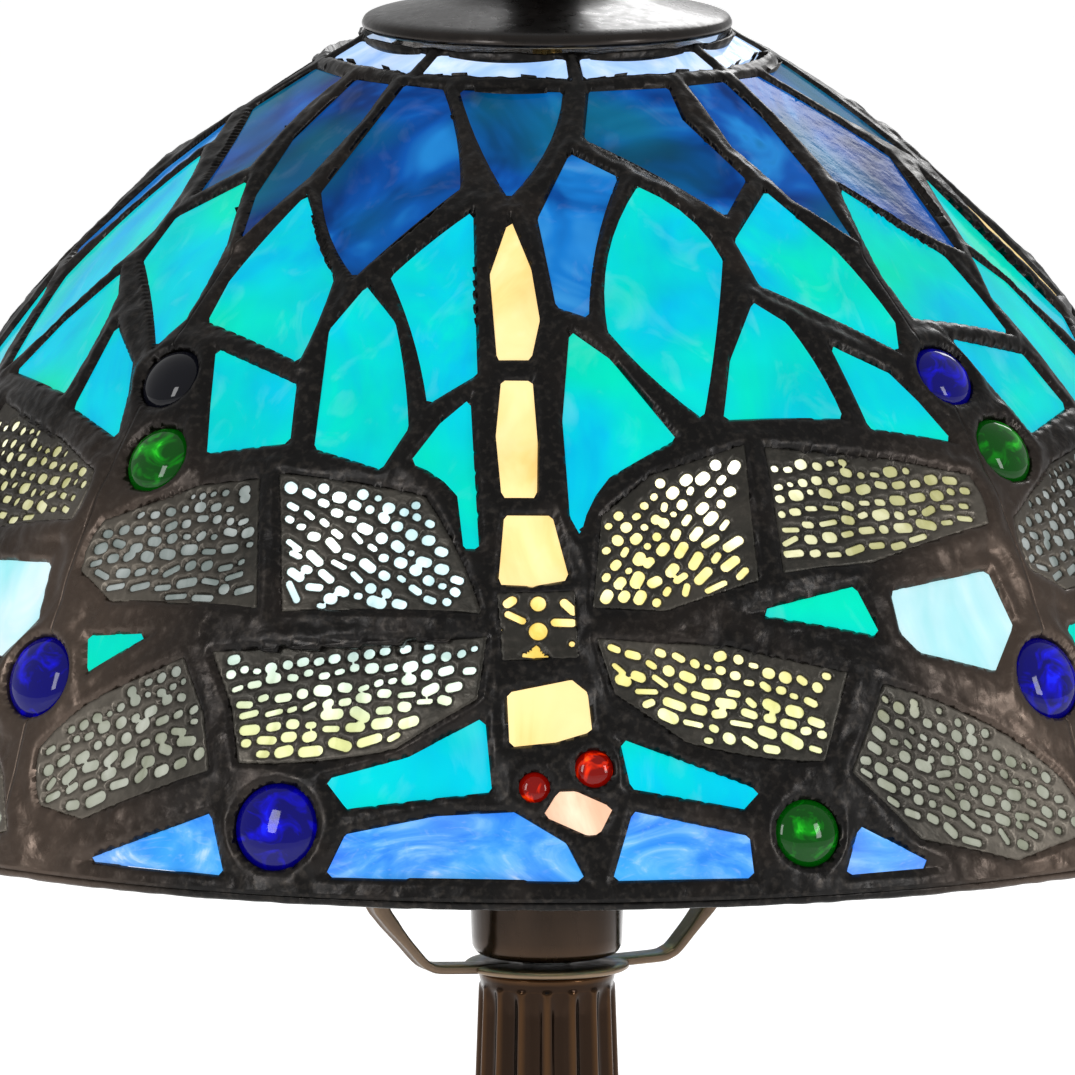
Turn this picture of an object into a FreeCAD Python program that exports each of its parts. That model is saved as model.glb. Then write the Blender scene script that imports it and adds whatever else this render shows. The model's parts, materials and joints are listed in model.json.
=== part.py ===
"""Stained glass table lamp: a 12 inch dragonfly shade on a harp, over a fluted bronze column.

Millimetres, +Z up. The origin is the centre of the underside of the felt pad, and a dragonfly faces -Y.
Angles go round the shade in degrees, positive towards +X from the front. Heights named "above the rim"
are measured from the plane of the shade's lower edge.
"""
import FreeCAD, Part

import math
import os

from FreeCAD import Rotation, Vector

os.makedirs("parts", exist_ok=True)

# ---------------------------------------------------------------- driving dimensions
RIM_Z = 281.0  # the rim plane above the table
RIM_RADIUS = 152.0  # a 12 inch shade
DOME_ARC = 223.8  # radius of the dome's profile
DOME_ARC_X = -67.2  # centre of that arc, across the axis
DOME_ARC_Z = -45.0  # centre of that arc, below the rim
SHOULDER_Z = 148.0  # above the rim, where the dome meets the shallower crown
CROWN_Z = 153.6
CROWN_RADIUS = 36.6
MODULES = 4  # one dragonfly each
MODULE_ANGLE = 360.0 / MODULES

GLASS = 3.0  # sheet thickness
FOIL_GAP = 0.3  # between a piece of glass and its window
LATTICE_OUT = 2.2  # solder bead outside the glass's mid surface
LATTICE_IN = 2.8
OVERLAY = 0.7  # pierced metal over the wings
OVERLAY_GAP = 0.05
RIM_WIRE = 1.2

HARP_TURN = 20.0  # the harp's plane is turned this far about the stem
HARP_HALF_WIDTH = 37.0
HARP_WIRE = 2.2
HARP_BOW = 48.0  # radius of the bow over the bulb
HARP_BOW_X = 6.0
HARP_NECK = 60.0  # radius of the reverse bend below it
HARP_TOP_Z = 147.0  # above the rim
HARP_FOOT_Z = -14.0
PIN_RADIUS = 1.6
PIN_HEIGHT = 8.0
RUNNING = 0.05

STUD_THREAD = 3.1
STUD_TOP_Z = 181.0
CAP_TOP_Z = 171.0
FINIAL_TOP_Z = 195.0

SOCKET_RADIUS = 15.65
SOCKET_FLOOR_Z = -35.0
SOCKET_TOP_Z = 12.0
SCREW_RADIUS = 13.1  # E26 lamp cap
BULB_RADIUS = 30.0
BULB_CENTRE_Z = 60.0
BULB_NECK_Z = 14.0
BULB_TIP_Z = -12.0

PIPE_RADIUS = 4.8
PIPE_BORE = 3.2
PIPE_CLEARANCE = 0.4
PIPE_LOW = 3.0
PIPE_HIGH = RIM_Z - 24.0
NECK_RADIUS = 13.9
COLUMN_FOOT_Z = 62.0
FLUTES = 16
FLUTE_DEPTH = 1.5
FOOT_RADIUS = 82.5
FELT = 2.0
INLET_RADIUS = 3.2

# ---------------------------------------------------------------- the cartoon of one module
# Each outline is a list of corners (degrees, mm above the rim, bulge), clockwise seen from outside.
# The bulge is how far the side that leaves that corner bows out of the piece, in mm; 0 if left out.
CROWN = [
    [(-35.5, 149.4), (-35.5, 153.0), (6, 153.0), (6, 149.4)],
    [(9.5, 149.4), (9.5, 153.0), (51, 153.0), (51, 149.4)],
]
PETALS = [
    [(-37, 147.5), (-26, 147.5, 1), (-14, 131), (-25, 114, 1.5), (-38, 129)],
    [(-22, 147.5), (4, 147.5, 2.5), (-6, 129, 1)],
    [(10, 147.5), (31, 147.5), (29.5, 142.5), (34, 131), (27, 125, -1), (7, 139.5)],
    [(36, 147.5), (48.5, 147.5), (49.5, 141), (48, 131), (45, 118.5), (40, 127), (36, 137)],
]
SLIP = [
    [(4, 137), (12, 133, -1.5), (5, 108), (1, 110), (-1.5, 126)],
]
UPPER_LEAVES = [
    [(-39.5, 128), (-28, 114, 0.5), (-28, 98.5), (-43, 104.5), (-43.5, 112, 0.5)],
    [(-11, 127), (-7.5, 98), (-12.5, 92, -1), (-20.5, 115, 0.5)],
    [(14.5, 131, 2.5), (24, 118, 0.5), (16, 89, 1), (7, 106, 3)],
    [(36, 129), (42, 118, 0.5), (44, 104), (42, 98.5, -0.5), (27.5, 113), (26.5, 121)],
]
LOWER_LEAVES = [
    [(-39.5, 100), (-27.5, 95), (-26, 84), (-35, 81), (-37, 90)],
    [(-23, 113), (-18, 107, 0.5), (-14, 88), (-16, 80), (-23.5, 83.5), (-26, 105)],
    [(-8, 94), (-6, 66), (-7.5, 66), (-8.5, 76, -1), (-13.5, 81.5), (-11, 89)],
    [(2.5, 106), (7, 101), (13, 86), (6, 79.5, -1), (3, 68), (2, 72), (1.5, 90)],
    [(25.5, 110), (29, 106, 1), (31.5, 88), (18, 89), (20.5, 100)],
    [(33, 101.5), (39.5, 95.5), (41.5, 90), (43.5, 81.5), (34, 86)],
]
TAIL = [
    [(-5.5, 126), (-2, 117), (-0.8, 108), (-1.7, 100.5), (-5.6, 100.5), (-7.5, 116)],
    [(-5, 97), (-1.5, 97), (-0.9, 86), (-0.9, 75.5), (-4.3, 75.5), (-5.2, 87)],
    [(-4, 72.5), (0.5, 72.5), (2, 60.4), (-1.2, 59.3), (-4.3, 59.5)],
    [(-3.3, 39.5), (2, 42), (3.3, 39.5), (3.6, 32), (0.7, 30), (-3, 29)],
]
THORAX = [
    [(-4.2, 57.6), (2.3, 58.1), (2.5, 46), (-3.6, 45.5)],
]
HEAD = [
    [(0.8, 20.8), (2.2, 20.9), (5.1, 17.6), (4, 12.4), (3, 12.2), (-0.4, 16)],
]
INNER_WINGS = [
    [(-26, 78, 0.5), (-11.5, 75.5, 1), (-5.5, 54), (-23, 53.5)],
    [(3.8, 55), (5, 72), (10, 79.5), (19.5, 84), (18.5, 59.5), (10, 54.5)],
    [(-28.5, 44.5), (-5, 49.5), (-5.5, 38), (-12, 28.5, 1), (-24.5, 24), (-26, 35)],
    [(4, 49), (15, 47.5), (25, 41), (22, 25, 1), (11, 30), (5.4, 39)],
]
OUTER_WINGS = [
    [(-28, 77), (-34.5, 75), (-43.5, 66.5, 1), (-44, 57), (-40, 52.5), (-25.2, 53.5)],
    [(21.6, 83.5), (35, 80), (43, 75, 1), (43, 66), (30, 62), (20.8, 60.5)],
    [(-31, 43), (-28.3, 33), (-27, 22.5), (-38, 11), (-42, 12.5, 1), (-43.2, 23, 1), (-38, 35)],
    [(28, 38.5, 0.5), (36, 31, 1), (43.4, 17), (45.6, 6.5), (38, 3), (29.5, 9), (24, 22.5)],
]
WEDGES = [
    [(-41.5, 45.5), (-34.5, 47.5), (-40.5, 38.5)],
    [(17, 53.5), (27.5, 57.5), (29, 47.5)],
]
PALE_PANEL = [
    [(30.7, 56), (41.6, 58), (42.5, 47), (39.3, 39), (32.2, 44), (30.7, 48)],
]
HEAD_GROUND = [
    [(-4.9, 35), (-4.2, 20.5), (-15.5, 16.5), (-17.5, 22), (-11, 27)],
    [(5.6, 31), (16.7, 20), (15.2, 16.5), (6.4, 21)],
]
BORDER = [
    [(-37.5, 2.8), (-26.5, 14.5), (-24.8, 2.4)],
    [(-17, 3.2), (-15.5, 12), (-8.5, 16), (-2.5, 17), (1.5, 11), (3, 3.4)],
    [(6.5, 17), (15.5, 11.5), (15.7, 3.2), (4.8, 3.4)],
    [(24.3, 12.5), (31, 3), (22.8, 2.8)],
]
# Jewels: (degrees, mm above the rim, radius)
BLUE_JEWELS = [(-43.5, 93.5, 7.0), (-45.5, 36.5, 8.5), (-21, 12.5, 8.8)]
GREEN_JEWELS = [(-40.5, 79, 7.3), (20, 11.5, 6.8)]
RED_EYES = [(-1, 21.5, 3.2), (3.6, 25, 3.9)]


# ---------------------------------------------------------------- the shade's surface
def shade_radius(height):
    """Radius of the glass's mid surface at a height above the rim."""
    if height > SHOULDER_Z:
        shoulder = shade_radius(SHOULDER_Z)
        share = (height - SHOULDER_Z) / (CROWN_Z - SHOULDER_Z)
        return shoulder + share * (CROWN_RADIUS - shoulder)
    return DOME_ARC_X + math.sqrt(DOME_ARC**2 - (height - DOME_ARC_Z) ** 2)


def on_shade(angle, height):
    """A point of the glass's mid surface."""
    radius = shade_radius(height)
    a = math.radians(angle)
    return Vector(radius * math.sin(a), -radius * math.cos(a), RIM_Z + height)


def outward(angle, height):
    """The shade's outward direction at a point below the shoulder."""
    across = shade_radius(height) - DOME_ARC_X
    a = math.radians(angle)
    return Vector(across * math.sin(a), -across * math.cos(a), height - DOME_ARC_Z).normalize()


def best_plane(points):
    """Centre, two directions and outward normal of the plane that fits a loop of points."""
    centre = Vector()
    normal = Vector()
    for here, after in zip(points, points[1:] + points[:1]):
        centre += here / len(points)
        normal += here.cross(after)
    normal.normalize()
    if normal.dot(Vector(centre.x, centre.y, 0)) < 0:
        normal = -normal
    right = Vector(-centre.y, centre.x, 0).normalize()
    right = (right - normal * right.dot(normal)).normalize()
    return centre, right, normal.cross(right), normal


def flat_outline(corners):
    """A piece's plane, and its outline in that plane with every bowed side split into short chords."""
    points = [on_shade(c[0], c[1]) for c in corners]
    centre, right, up, normal = best_plane(points)
    flat = [((p - centre).dot(right), (p - centre).dot(up)) for p in points]
    turn = sum(a[0] * b[1] - b[0] * a[1] for a, b in zip(flat, flat[1:] + flat[:1]))
    side = 1.0 if turn > 0 else -1.0
    outline = []
    for corner, start, end in zip(corners, flat, flat[1:] + flat[:1]):
        outline.append(start)
        bulge = corner[2] if len(corner) > 2 else 0.0
        if bulge == 0.0:
            continue
        dx, dy = end[0] - start[0], end[1] - start[1]
        length = math.hypot(dx, dy)
        chords = max(3, round(length / 5.0))
        for i in range(1, chords):
            t = i / chords
            out = side * bulge * 4 * t * (1 - t) / length
            outline.append((start[0] + t * dx + out * dy, start[1] + t * dy - out * dx))
    if side < 0:
        outline.reverse()
    return (centre, right, up, normal), outline


def grown(outline, distance):
    """An anticlockwise outline with every side moved out by a distance, or in if it is negative."""
    count = len(outline)
    result = []
    for i in range(count):
        before, here, after = outline[i - 1], outline[i], outline[(i + 1) % count]
        ax, ay = here[0] - before[0], here[1] - before[1]
        bx, by = after[0] - here[0], after[1] - here[1]
        la, lb = math.hypot(ax, ay), math.hypot(bx, by)
        nax, nay, nbx, nby = ay / la, -ax / la, by / lb, -bx / lb
        share = distance / max(0.35, 1.0 + nax * nbx + nay * nby)
        result.append((here[0] + share * (nax + nbx), here[1] + share * (nay + nby)))
    return result


def placed(plane, outline, depth):
    """A closed wire of an outline, at a depth along its plane's normal."""
    centre, right, up, normal = plane
    points = [centre + right * x + up * y + normal * depth for x, y in outline]
    return Part.makePolygon(points + points[:1])


def prism(plane, outline, low, high):
    """A flat plate between two depths along its plane's normal."""
    return Part.Face(placed(plane, outline, low)).extrude(plane[3] * (high - low))


def pane(corners):
    """One piece of sheet glass."""
    plane, outline = flat_outline(corners)
    return prism(plane, outline, -GLASS / 2, GLASS / 2)


def window(corners):
    """The opening in the lattice that a pane sits in."""
    plane, outline = flat_outline(corners)
    return prism(plane, grown(outline, FOIL_GAP), -9.0, 9.0)


def inside(outline, x, y, margin):
    """Whether a point lies inside a convex-ish outline, at least a margin from every side."""
    crossings = False
    for a, b in zip(outline, outline[1:] + outline[:1]):
        dx, dy = b[0] - a[0], b[1] - a[1]
        t = max(0.0, min(1.0, ((x - a[0]) * dx + (y - a[1]) * dy) / (dx * dx + dy * dy)))
        if math.hypot(x - a[0] - t * dx, y - a[1] - t * dy) < margin:
            return False
        if (a[1] > y) != (b[1] > y) and x < a[0] + (y - a[1]) * dx / dy:
            crossings = not crossings
    return crossings


def pierced(corners, pitch, hole):
    """A thin metal overlay on a pane, pierced by staggered rows of six-sided holes."""
    plane, outline = flat_outline(corners)
    depth = GLASS / 2 + OVERLAY_GAP
    wires = [placed(plane, outline, depth)]
    for row in range(-12, 13):
        for column in range(-12, 13):
            x = (column + 0.5 * (row % 2)) * pitch[0]
            y = row * pitch[1]
            if not inside(outline, x, y, max(hole) + 0.8):
                continue
            ring = []
            for corner in range(6):
                a = math.radians(60 * corner)
                ring.append((x + hole[0] * math.cos(a), y + hole[1] * math.sin(a)))
            wires.append(placed(plane, ring, depth))
    face = Part.makeFace(wires, "Part::FaceMakerBullseye")
    return face.extrude(plane[3] * OVERLAY)


def turned(profile):
    """A solid of revolution from a closed list of (radius, height) corners."""
    points = [Vector(r, 0, z) for r, z in profile]
    face = Part.Face(Part.makePolygon(points + points[:1]))
    return face.revolve(Vector(), Vector(0, 0, 1), 360)


def seated(shape, angle, height):
    """A shape made round +Z, set on the shade with its axis outward."""
    shape = shape.copy()
    shape.Placement = FreeCAD.Placement(
        on_shade(angle, height), Rotation(Vector(0, 0, 1), outward(angle, height))
    )
    return shape


def jewel(angle, height, radius):
    """A pressed glass cabochon: a flat back, a straight girdle and a domed face."""
    back, girdle, dome = -1.8, 1.0, 0.5 * radius
    edge = Vector(radius, 0, girdle)
    crest = Vector(0, 0, girdle + dome)
    sphere = (radius**2 + dome**2) / (2 * dome)
    halfway = 0.5 * math.asin(radius / sphere)
    mid = Vector(sphere * math.sin(halfway), 0, crest.z - sphere * (1 - math.cos(halfway)))
    wire = Part.Wire(
        [
            Part.LineSegment(Vector(0, 0, back), Vector(radius, 0, back)).toShape(),
            Part.LineSegment(Vector(radius, 0, back), edge).toShape(),
            Part.Arc(edge, mid, crest).toShape(),
            Part.LineSegment(crest, Vector(0, 0, back)).toShape(),
        ]
    )
    return seated(Part.Face(wire).revolve(Vector(), Vector(0, 0, 1), 360), angle, height)


def jewel_window(angle, height, radius):
    """The round opening in the lattice that a jewel sits in."""
    return seated(Part.makeCylinder(radius + FOIL_GAP, 18, Vector(0, 0, -9)), angle, height)


def about_stem(shape, angle):
    """A copy of a shape, turned about the lamp's axis."""
    return shape.rotated(Vector(), Vector(0, 0, 1), angle)


def round_shade(solids):
    """One module's solids, repeated for every module."""
    return [about_stem(s, MODULE_ANGLE * m) for m in range(MODULES) for s in solids]


def save(name, solids):
    """Write one node: a solid, or several separate ones."""
    solids = solids if isinstance(solids, list) else [solids]
    bad = [s for s in solids if not s.isValid() or s.Volume <= 0]
    if bad:
        print(name, "has", len(bad), "invalid solids")
    shape = solids[0] if len(solids) == 1 else Part.makeCompound(solids)
    shape.exportStep("parts/" + name + ".step")


# ---------------------------------------------------------------- glass, jewels and overlays
GLASS_NODES = {
    "crown_glass": CROWN,
    "petal_glass": PETALS,
    "slip_glass": SLIP,
    "upper_leaf_glass": UPPER_LEAVES,
    "lower_leaf_glass": LOWER_LEAVES,
    "tail_glass": TAIL,
    "thorax_glass": THORAX,
    "head_glass": HEAD,
    "inner_wing_glass": INNER_WINGS,
    "outer_wing_glass": OUTER_WINGS,
    "wedge_glass": WEDGES,
    "pale_panel_glass": PALE_PANEL,
    "head_ground_glass": HEAD_GROUND,
    "border_glass": BORDER,
}
JEWEL_NODES = {"blue_jewels": BLUE_JEWELS, "green_jewels": GREEN_JEWELS, "eye_jewels": RED_EYES}
OVERLAY_NODES = {
    "inner_wing_overlay": (INNER_WINGS, (5.6, 4.2), (1.9, 1.2)),
    "outer_wing_overlay": (OUTER_WINGS, (5.6, 4.2), (1.7, 1.1)),
    "thorax_overlay": (THORAX, (4.6, 3.6), (1.3, 1.0)),
}

for node, outlines in GLASS_NODES.items():
    save(node, round_shade([pane(c) for c in outlines]))
for node, places in JEWEL_NODES.items():
    save(node, round_shade([jewel(*place) for place in places]))
for node, (outlines, pitch, hole) in OVERLAY_NODES.items():
    save(node, round_shade([pierced(c, pitch, hole) for c in outlines]))


# ---------------------------------------------------------------- the soldered lattice
def shell_section(low, high):
    """The lattice's cross-section between two heights of the dome, with the shallow crown above it."""
    centre = Vector(DOME_ARC_X, 0, RIM_Z + DOME_ARC_Z)

    def on_arc(radius, height):
        rise = RIM_Z + height - centre.z
        return Vector(centre.x + math.sqrt(radius**2 - rise**2), 0, RIM_Z + height)

    outer, inner = DOME_ARC + LATTICE_OUT, DOME_ARC - LATTICE_IN
    middle = (low + high) / 2
    crown_out = Vector(CROWN_RADIUS, 0, RIM_Z + CROWN_Z + LATTICE_OUT)
    crown_in = Vector(CROWN_RADIUS, 0, RIM_Z + CROWN_Z - LATTICE_IN)
    edges = [
        Part.LineSegment(on_arc(inner, low), on_arc(outer, low)),
        Part.Arc(on_arc(outer, low), on_arc(outer, middle), on_arc(outer, high)),
        Part.LineSegment(on_arc(outer, high), crown_out),
        Part.LineSegment(crown_out, crown_in),
        Part.LineSegment(crown_in, on_arc(inner, high)),
        Part.Arc(on_arc(inner, high), on_arc(inner, middle), on_arc(inner, low)),
    ]
    return Part.Face(Part.Wire([e.toShape() for e in edges]))


def module_windows():
    """A window for every pane and jewel that reaches into the module, its neighbours' included."""
    windows = []
    half = MODULE_ANGLE / 2 + 1
    for outlines in GLASS_NODES.values():
        for corners in outlines:
            for shift in (-MODULE_ANGLE, 0.0, MODULE_ANGLE):
                angles = [c[0] + shift for c in corners]
                if max(angles) > -half and min(angles) < half:
                    windows.append(about_stem(window(corners), shift))
    for places in JEWEL_NODES.values():
        for angle, height, radius in places:
            for shift in (-MODULE_ANGLE, 0.0, MODULE_ANGLE):
                if abs(angle + shift) < half + 8:
                    windows.append(about_stem(jewel_window(angle, height, radius), shift))
    return windows


def lattice_quarter():
    """A quarter of the solder lattice, with its windows cut through."""
    section = shell_section(RIM_WIRE_GAP, SHOULDER_Z)
    section = section.rotated(Vector(), Vector(0, 0, 1), -90 - MODULE_ANGLE / 2)
    quarter = section.revolve(Vector(), Vector(0, 0, 1), MODULE_ANGLE)
    cut = quarter.cut(module_windows())
    return sorted(cut.Solids, key=lambda solid: solid.Volume)[-1]


RIM_WIRE_GAP = 0.4  # from the rim plane up to the lattice's lower edge
save("solder_lattice", round_shade([lattice_quarter()]))

RIM_WIRE_DROP = 1.0
rim_wire = Part.makeTorus(RIM_RADIUS, RIM_WIRE, Vector(0, 0, RIM_Z - RIM_WIRE_DROP))
save("rim_wire", rim_wire)


# ---------------------------------------------------------------- cap, stud and finial
def ring_about_stem(outer, inner, low, high):
    """A flat ring or tube about the stem, between two heights above the table."""
    return turned([(inner, low), (outer, low), (outer, high), (inner, high)])


def ring(outer, inner, low, high):
    """A flat ring or tube about the stem, between two heights above the rim."""
    return ring_about_stem(outer, inner, RIM_Z + low, RIM_Z + high)


def turned_above_rim(profile):
    """A solid of revolution whose profile is (radius, height above the rim)."""
    return turned([(r, RIM_Z + z) for r, z in profile])


STUD_SEAT_Z = 151.0
HOLE_ON_STUD = STUD_THREAD + 0.3
inner_cap_low = STUD_SEAT_Z + 0.1
inner_cap_high = inner_cap_low + 1.2
save("inner_cap", ring(CROWN_RADIUS - 4.0, HOLE_ON_STUD, inner_cap_low, inner_cap_high))

CAP_WALL = 1.2
cap_outside = [(38.0, 157.2), (37.0, 159.2), (30.0, 160.8), (20.0, 163.0), (12.5, 166.4), (9.0, CAP_TOP_Z)]
cap_inside = [(max(HOLE_ON_STUD, r - CAP_WALL), z - CAP_WALL) for r, z in reversed(cap_outside)]
cap_profile = cap_outside + [(HOLE_ON_STUD, CAP_TOP_Z), (HOLE_ON_STUD, CAP_TOP_Z - CAP_WALL)] + cap_inside
save("vase_cap", turned_above_rim(cap_profile))

HARP_PAD_RADIUS = 7.0
STUD_PIN = 2.05
pad_low, pad_high = HARP_TOP_Z - 2.0, HARP_TOP_Z + 2.3
stud_profile = [
    (0, pad_low - 1.7),
    (3.4, pad_low - 1.7),
    (3.4, pad_low - 0.2),
    (STUD_PIN, pad_low - 0.2),
    (STUD_PIN, pad_high + 0.2),
    (7.5, pad_high + 0.2),
    (7.5, STUD_SEAT_Z),
    (STUD_THREAD, STUD_SEAT_Z),
    (STUD_THREAD, STUD_TOP_Z - 0.8),
    (STUD_THREAD - 0.8, STUD_TOP_Z),
    (0, STUD_TOP_Z),
]
save("harp_stud", turned_above_rim(stud_profile))

INSERT_RADIUS = 4.6
insert_low, insert_high = CAP_TOP_Z + 0.3, CAP_TOP_Z + 8.0
save("finial_insert", ring(INSERT_RADIUS, STUD_THREAD + RUNNING, insert_low, insert_high))

bore = INSERT_RADIUS + RUNNING
finial_outside = [
    (7.6, insert_low),
    (8.4, insert_low + 1.6),
    (6.6, insert_low + 3.2),
    (6.4, insert_low + 5.0),
    (9.6, insert_low + 7.0),
    (12.8, insert_low + 9.6),
    (13.8, insert_low + 12.6),
    (12.8, insert_low + 15.4),
    (9.0, insert_low + 17.6),
    (5.0, insert_low + 19.2),
    (3.6, insert_low + 20.4),
    (4.2, insert_low + 21.6),
    (0, FINIAL_TOP_Z),
]
finial_profile = [(bore, insert_low)] + finial_outside + [(0, STUD_TOP_Z + 0.6), (bore, STUD_TOP_Z + 0.6)]
save("finial", turned_above_rim(finial_profile))


# ---------------------------------------------------------------- harp, sleeves and saddle
def in_harp_plane(shape):
    """A shape drawn in the XZ plane, turned with the harp."""
    return about_stem(shape, HARP_TURN)


def above_rim(x, z):
    """A point of the XZ plane at a height above the rim."""
    return Vector(x, 0, RIM_Z + z)


def harp_wire():
    """The bent wire of the harp: two straight legs, a reverse bend, and one bow over the bulb."""
    bow_z = HARP_TOP_Z - HARP_BOW
    neck_x = HARP_HALF_WIDTH + HARP_NECK
    turn = math.acos((neck_x - HARP_BOW_X) / (HARP_NECK + HARP_BOW))
    neck_z = bow_z - (HARP_NECK + HARP_BOW) * math.sin(turn)

    def on_neck(a):
        return above_rim(neck_x - HARP_NECK * math.cos(a), neck_z + HARP_NECK * math.sin(a))

    def on_bow(a):
        return above_rim(HARP_BOW_X + HARP_BOW * math.cos(a), bow_z + HARP_BOW * math.sin(a))

    quarter_turn = math.pi / 2
    foot = above_rim(HARP_HALF_WIDTH, HARP_FOOT_Z)
    half = [
        Part.LineSegment(foot, on_neck(0)),
        Part.Arc(on_neck(0), on_neck(turn / 2), on_neck(turn)),
        Part.Arc(on_neck(turn), on_bow((quarter_turn - turn) / 2), on_bow(quarter_turn)),
        Part.LineSegment(on_bow(quarter_turn), above_rim(0, HARP_TOP_Z)),
    ]
    path = Part.Wire([e.toShape() for e in half])
    circle = Part.Wire([Part.Circle(foot, Vector(0, 0, 1), HARP_WIRE).toShape()])
    leg = path.makePipeShell([circle], True, False)
    return leg.fuse(leg.mirror(Vector(), Vector(1, 0, 0)))


def at_both_legs(shape):
    """The two copies of a shape made at the stem's axis that sit on the harp's legs, left then right."""
    places = (-HARP_HALF_WIDTH, HARP_HALF_WIDTH)
    return [in_harp_plane(shape.translated(Vector(x, 0, 0))) for x in places]


pad = ring(HARP_PAD_RADIUS, STUD_PIN + RUNNING, pad_low, pad_high)
pin_hole = Part.makeCylinder(PIN_RADIUS + RUNNING, PIN_HEIGHT + 0.5, above_rim(0, HARP_FOOT_Z))
stud_hole = Part.makeCylinder(STUD_PIN + RUNNING, 12, above_rim(0, pad_low - 4))
harp = in_harp_plane(harp_wire()).fuse(pad).cut([stud_hole] + at_both_legs(pin_hole))
save("harp", harp.Solids[0])

SLEEVE_WALL = 1.3
sleeve = ring(HARP_WIRE + 0.08 + SLEEVE_WALL, HARP_WIRE + 0.08, HARP_FOOT_Z + 0.2, HARP_FOOT_Z + 12.2)
for side, solid in zip(("left", "right"), at_both_legs(sleeve)):
    save("harp_sleeve_" + side, solid)

SADDLE_THICK = 2.0
SADDLE_WIDTH = 7.0
SADDLE_Z = SOCKET_FLOOR_Z - 1.0 - SADDLE_THICK
saddle_disc = ring(SOCKET_RADIUS + 1.2, PIPE_RADIUS + PIPE_CLEARANCE, SADDLE_Z, SADDLE_Z + SADDLE_THICK)
arm_outline = [
    (12, SADDLE_Z),
    (24.5, SADDLE_Z),
    (HARP_HALF_WIDTH + 3, HARP_FOOT_Z - 9),
    (HARP_HALF_WIDTH + 3, HARP_FOOT_Z),
    (HARP_HALF_WIDTH - 3, HARP_FOOT_Z),
    (HARP_HALF_WIDTH - 3, HARP_FOOT_Z - 6),
    (23, SADDLE_Z + SADDLE_THICK + 1),
    (12, SADDLE_Z + SADDLE_THICK),
]
arm_corners = [above_rim(x, z) - Vector(0, SADDLE_WIDTH / 2, 0) for x, z in arm_outline]
arm = Part.Face(Part.makePolygon(arm_corners + arm_corners[:1])).extrude(Vector(0, SADDLE_WIDTH, 0))
pin = Part.makeCylinder(PIN_RADIUS, PIN_HEIGHT + 0.5, above_rim(HARP_HALF_WIDTH, HARP_FOOT_Z - 0.5))
right_arm = in_harp_plane(arm.fuse(pin))
pipe_hole = Part.makeCylinder(PIPE_RADIUS + PIPE_CLEARANCE, 10, above_rim(0, SADDLE_Z - 4))
saddle = saddle_disc.fuse([right_arm, about_stem(right_arm, 180)]).cut(pipe_hole)
save("harp_saddle", saddle.Solids[0])

# ---------------------------------------------------------------- socket and bulb
SOCKET_WALL = 0.9
cup = turned_above_rim(
    [
        (PIPE_RADIUS + PIPE_CLEARANCE, SOCKET_FLOOR_Z),
        (SOCKET_RADIUS - 2, SOCKET_FLOOR_Z),
        (SOCKET_RADIUS, SOCKET_FLOOR_Z + 2),
        (SOCKET_RADIUS, SOCKET_TOP_Z),
        (SOCKET_RADIUS - SOCKET_WALL, SOCKET_TOP_Z),
        (SOCKET_RADIUS - SOCKET_WALL, SOCKET_FLOOR_Z + 2.4),
        (SOCKET_RADIUS - 2.4, SOCKET_FLOOR_Z + SOCKET_WALL),
        (PIPE_RADIUS + PIPE_CLEARANCE, SOCKET_FLOOR_Z + SOCKET_WALL),
    ]
)
save("socket_cup", cup)
LINER_OUT = SOCKET_RADIUS - SOCKET_WALL - 0.05
LINER_IN = LINER_OUT - 0.5
save("socket_liner", ring(LINER_OUT, LINER_IN, SOCKET_FLOOR_Z + 3, SOCKET_TOP_Z - 0.5))
SHELL_IN = SCREW_RADIUS + RUNNING
save("screw_shell", ring(SHELL_IN + 0.45, SHELL_IN, BULB_TIP_Z + 1, SOCKET_TOP_Z - 1.5))
body_top = BULB_TIP_Z - 2.0
socket_body = ring(SHELL_IN + 0.4, PIPE_RADIUS + 0.1, -26.0, body_top)
save("socket_body", socket_body)
save("contact_tab", ring(4.0, 1.0, body_top + 0.1, BULB_TIP_Z - 0.1))
terminal = Part.makeCylinder(2.2, 3.0, above_rim(9.0, -29.1))
save("terminal_screws", [about_stem(terminal, a) for a in (90, 270)])


def bulb_profile(shrink):
    """Half of the bulb's outline: the neck's radius, then a smooth swell into the round globe."""
    joint = math.radians(-38)
    globe_r = BULB_RADIUS - shrink
    start = above_rim(SCREW_RADIUS - 0.6 - shrink, BULB_NECK_Z + 0.1)
    tangent = above_rim(globe_r * math.cos(joint), BULB_CENTRE_Z + globe_r * math.sin(joint))
    neck_mid = above_rim(SCREW_RADIUS + 2.2 - shrink, BULB_NECK_Z + 16)
    top = above_rim(0, BULB_CENTRE_Z + globe_r)
    side = above_rim(globe_r * math.cos(0.4), BULB_CENTRE_Z + globe_r * math.sin(0.4))
    return start, neck_mid, tangent, side, top


def bulb_solid(shrink):
    """The bulb's outline turned about the stem."""
    start, neck_mid, tangent, side, top = bulb_profile(shrink)
    foot = Vector(0, 0, start.z)
    edges = [
        Part.LineSegment(foot, start),
        Part.Arc(start, neck_mid, tangent),
        Part.Arc(tangent, side, top),
        Part.LineSegment(top, foot),
    ]
    return Part.Face(Part.Wire([e.toShape() for e in edges])).revolve(Vector(), Vector(0, 0, 1), 360)


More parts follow.
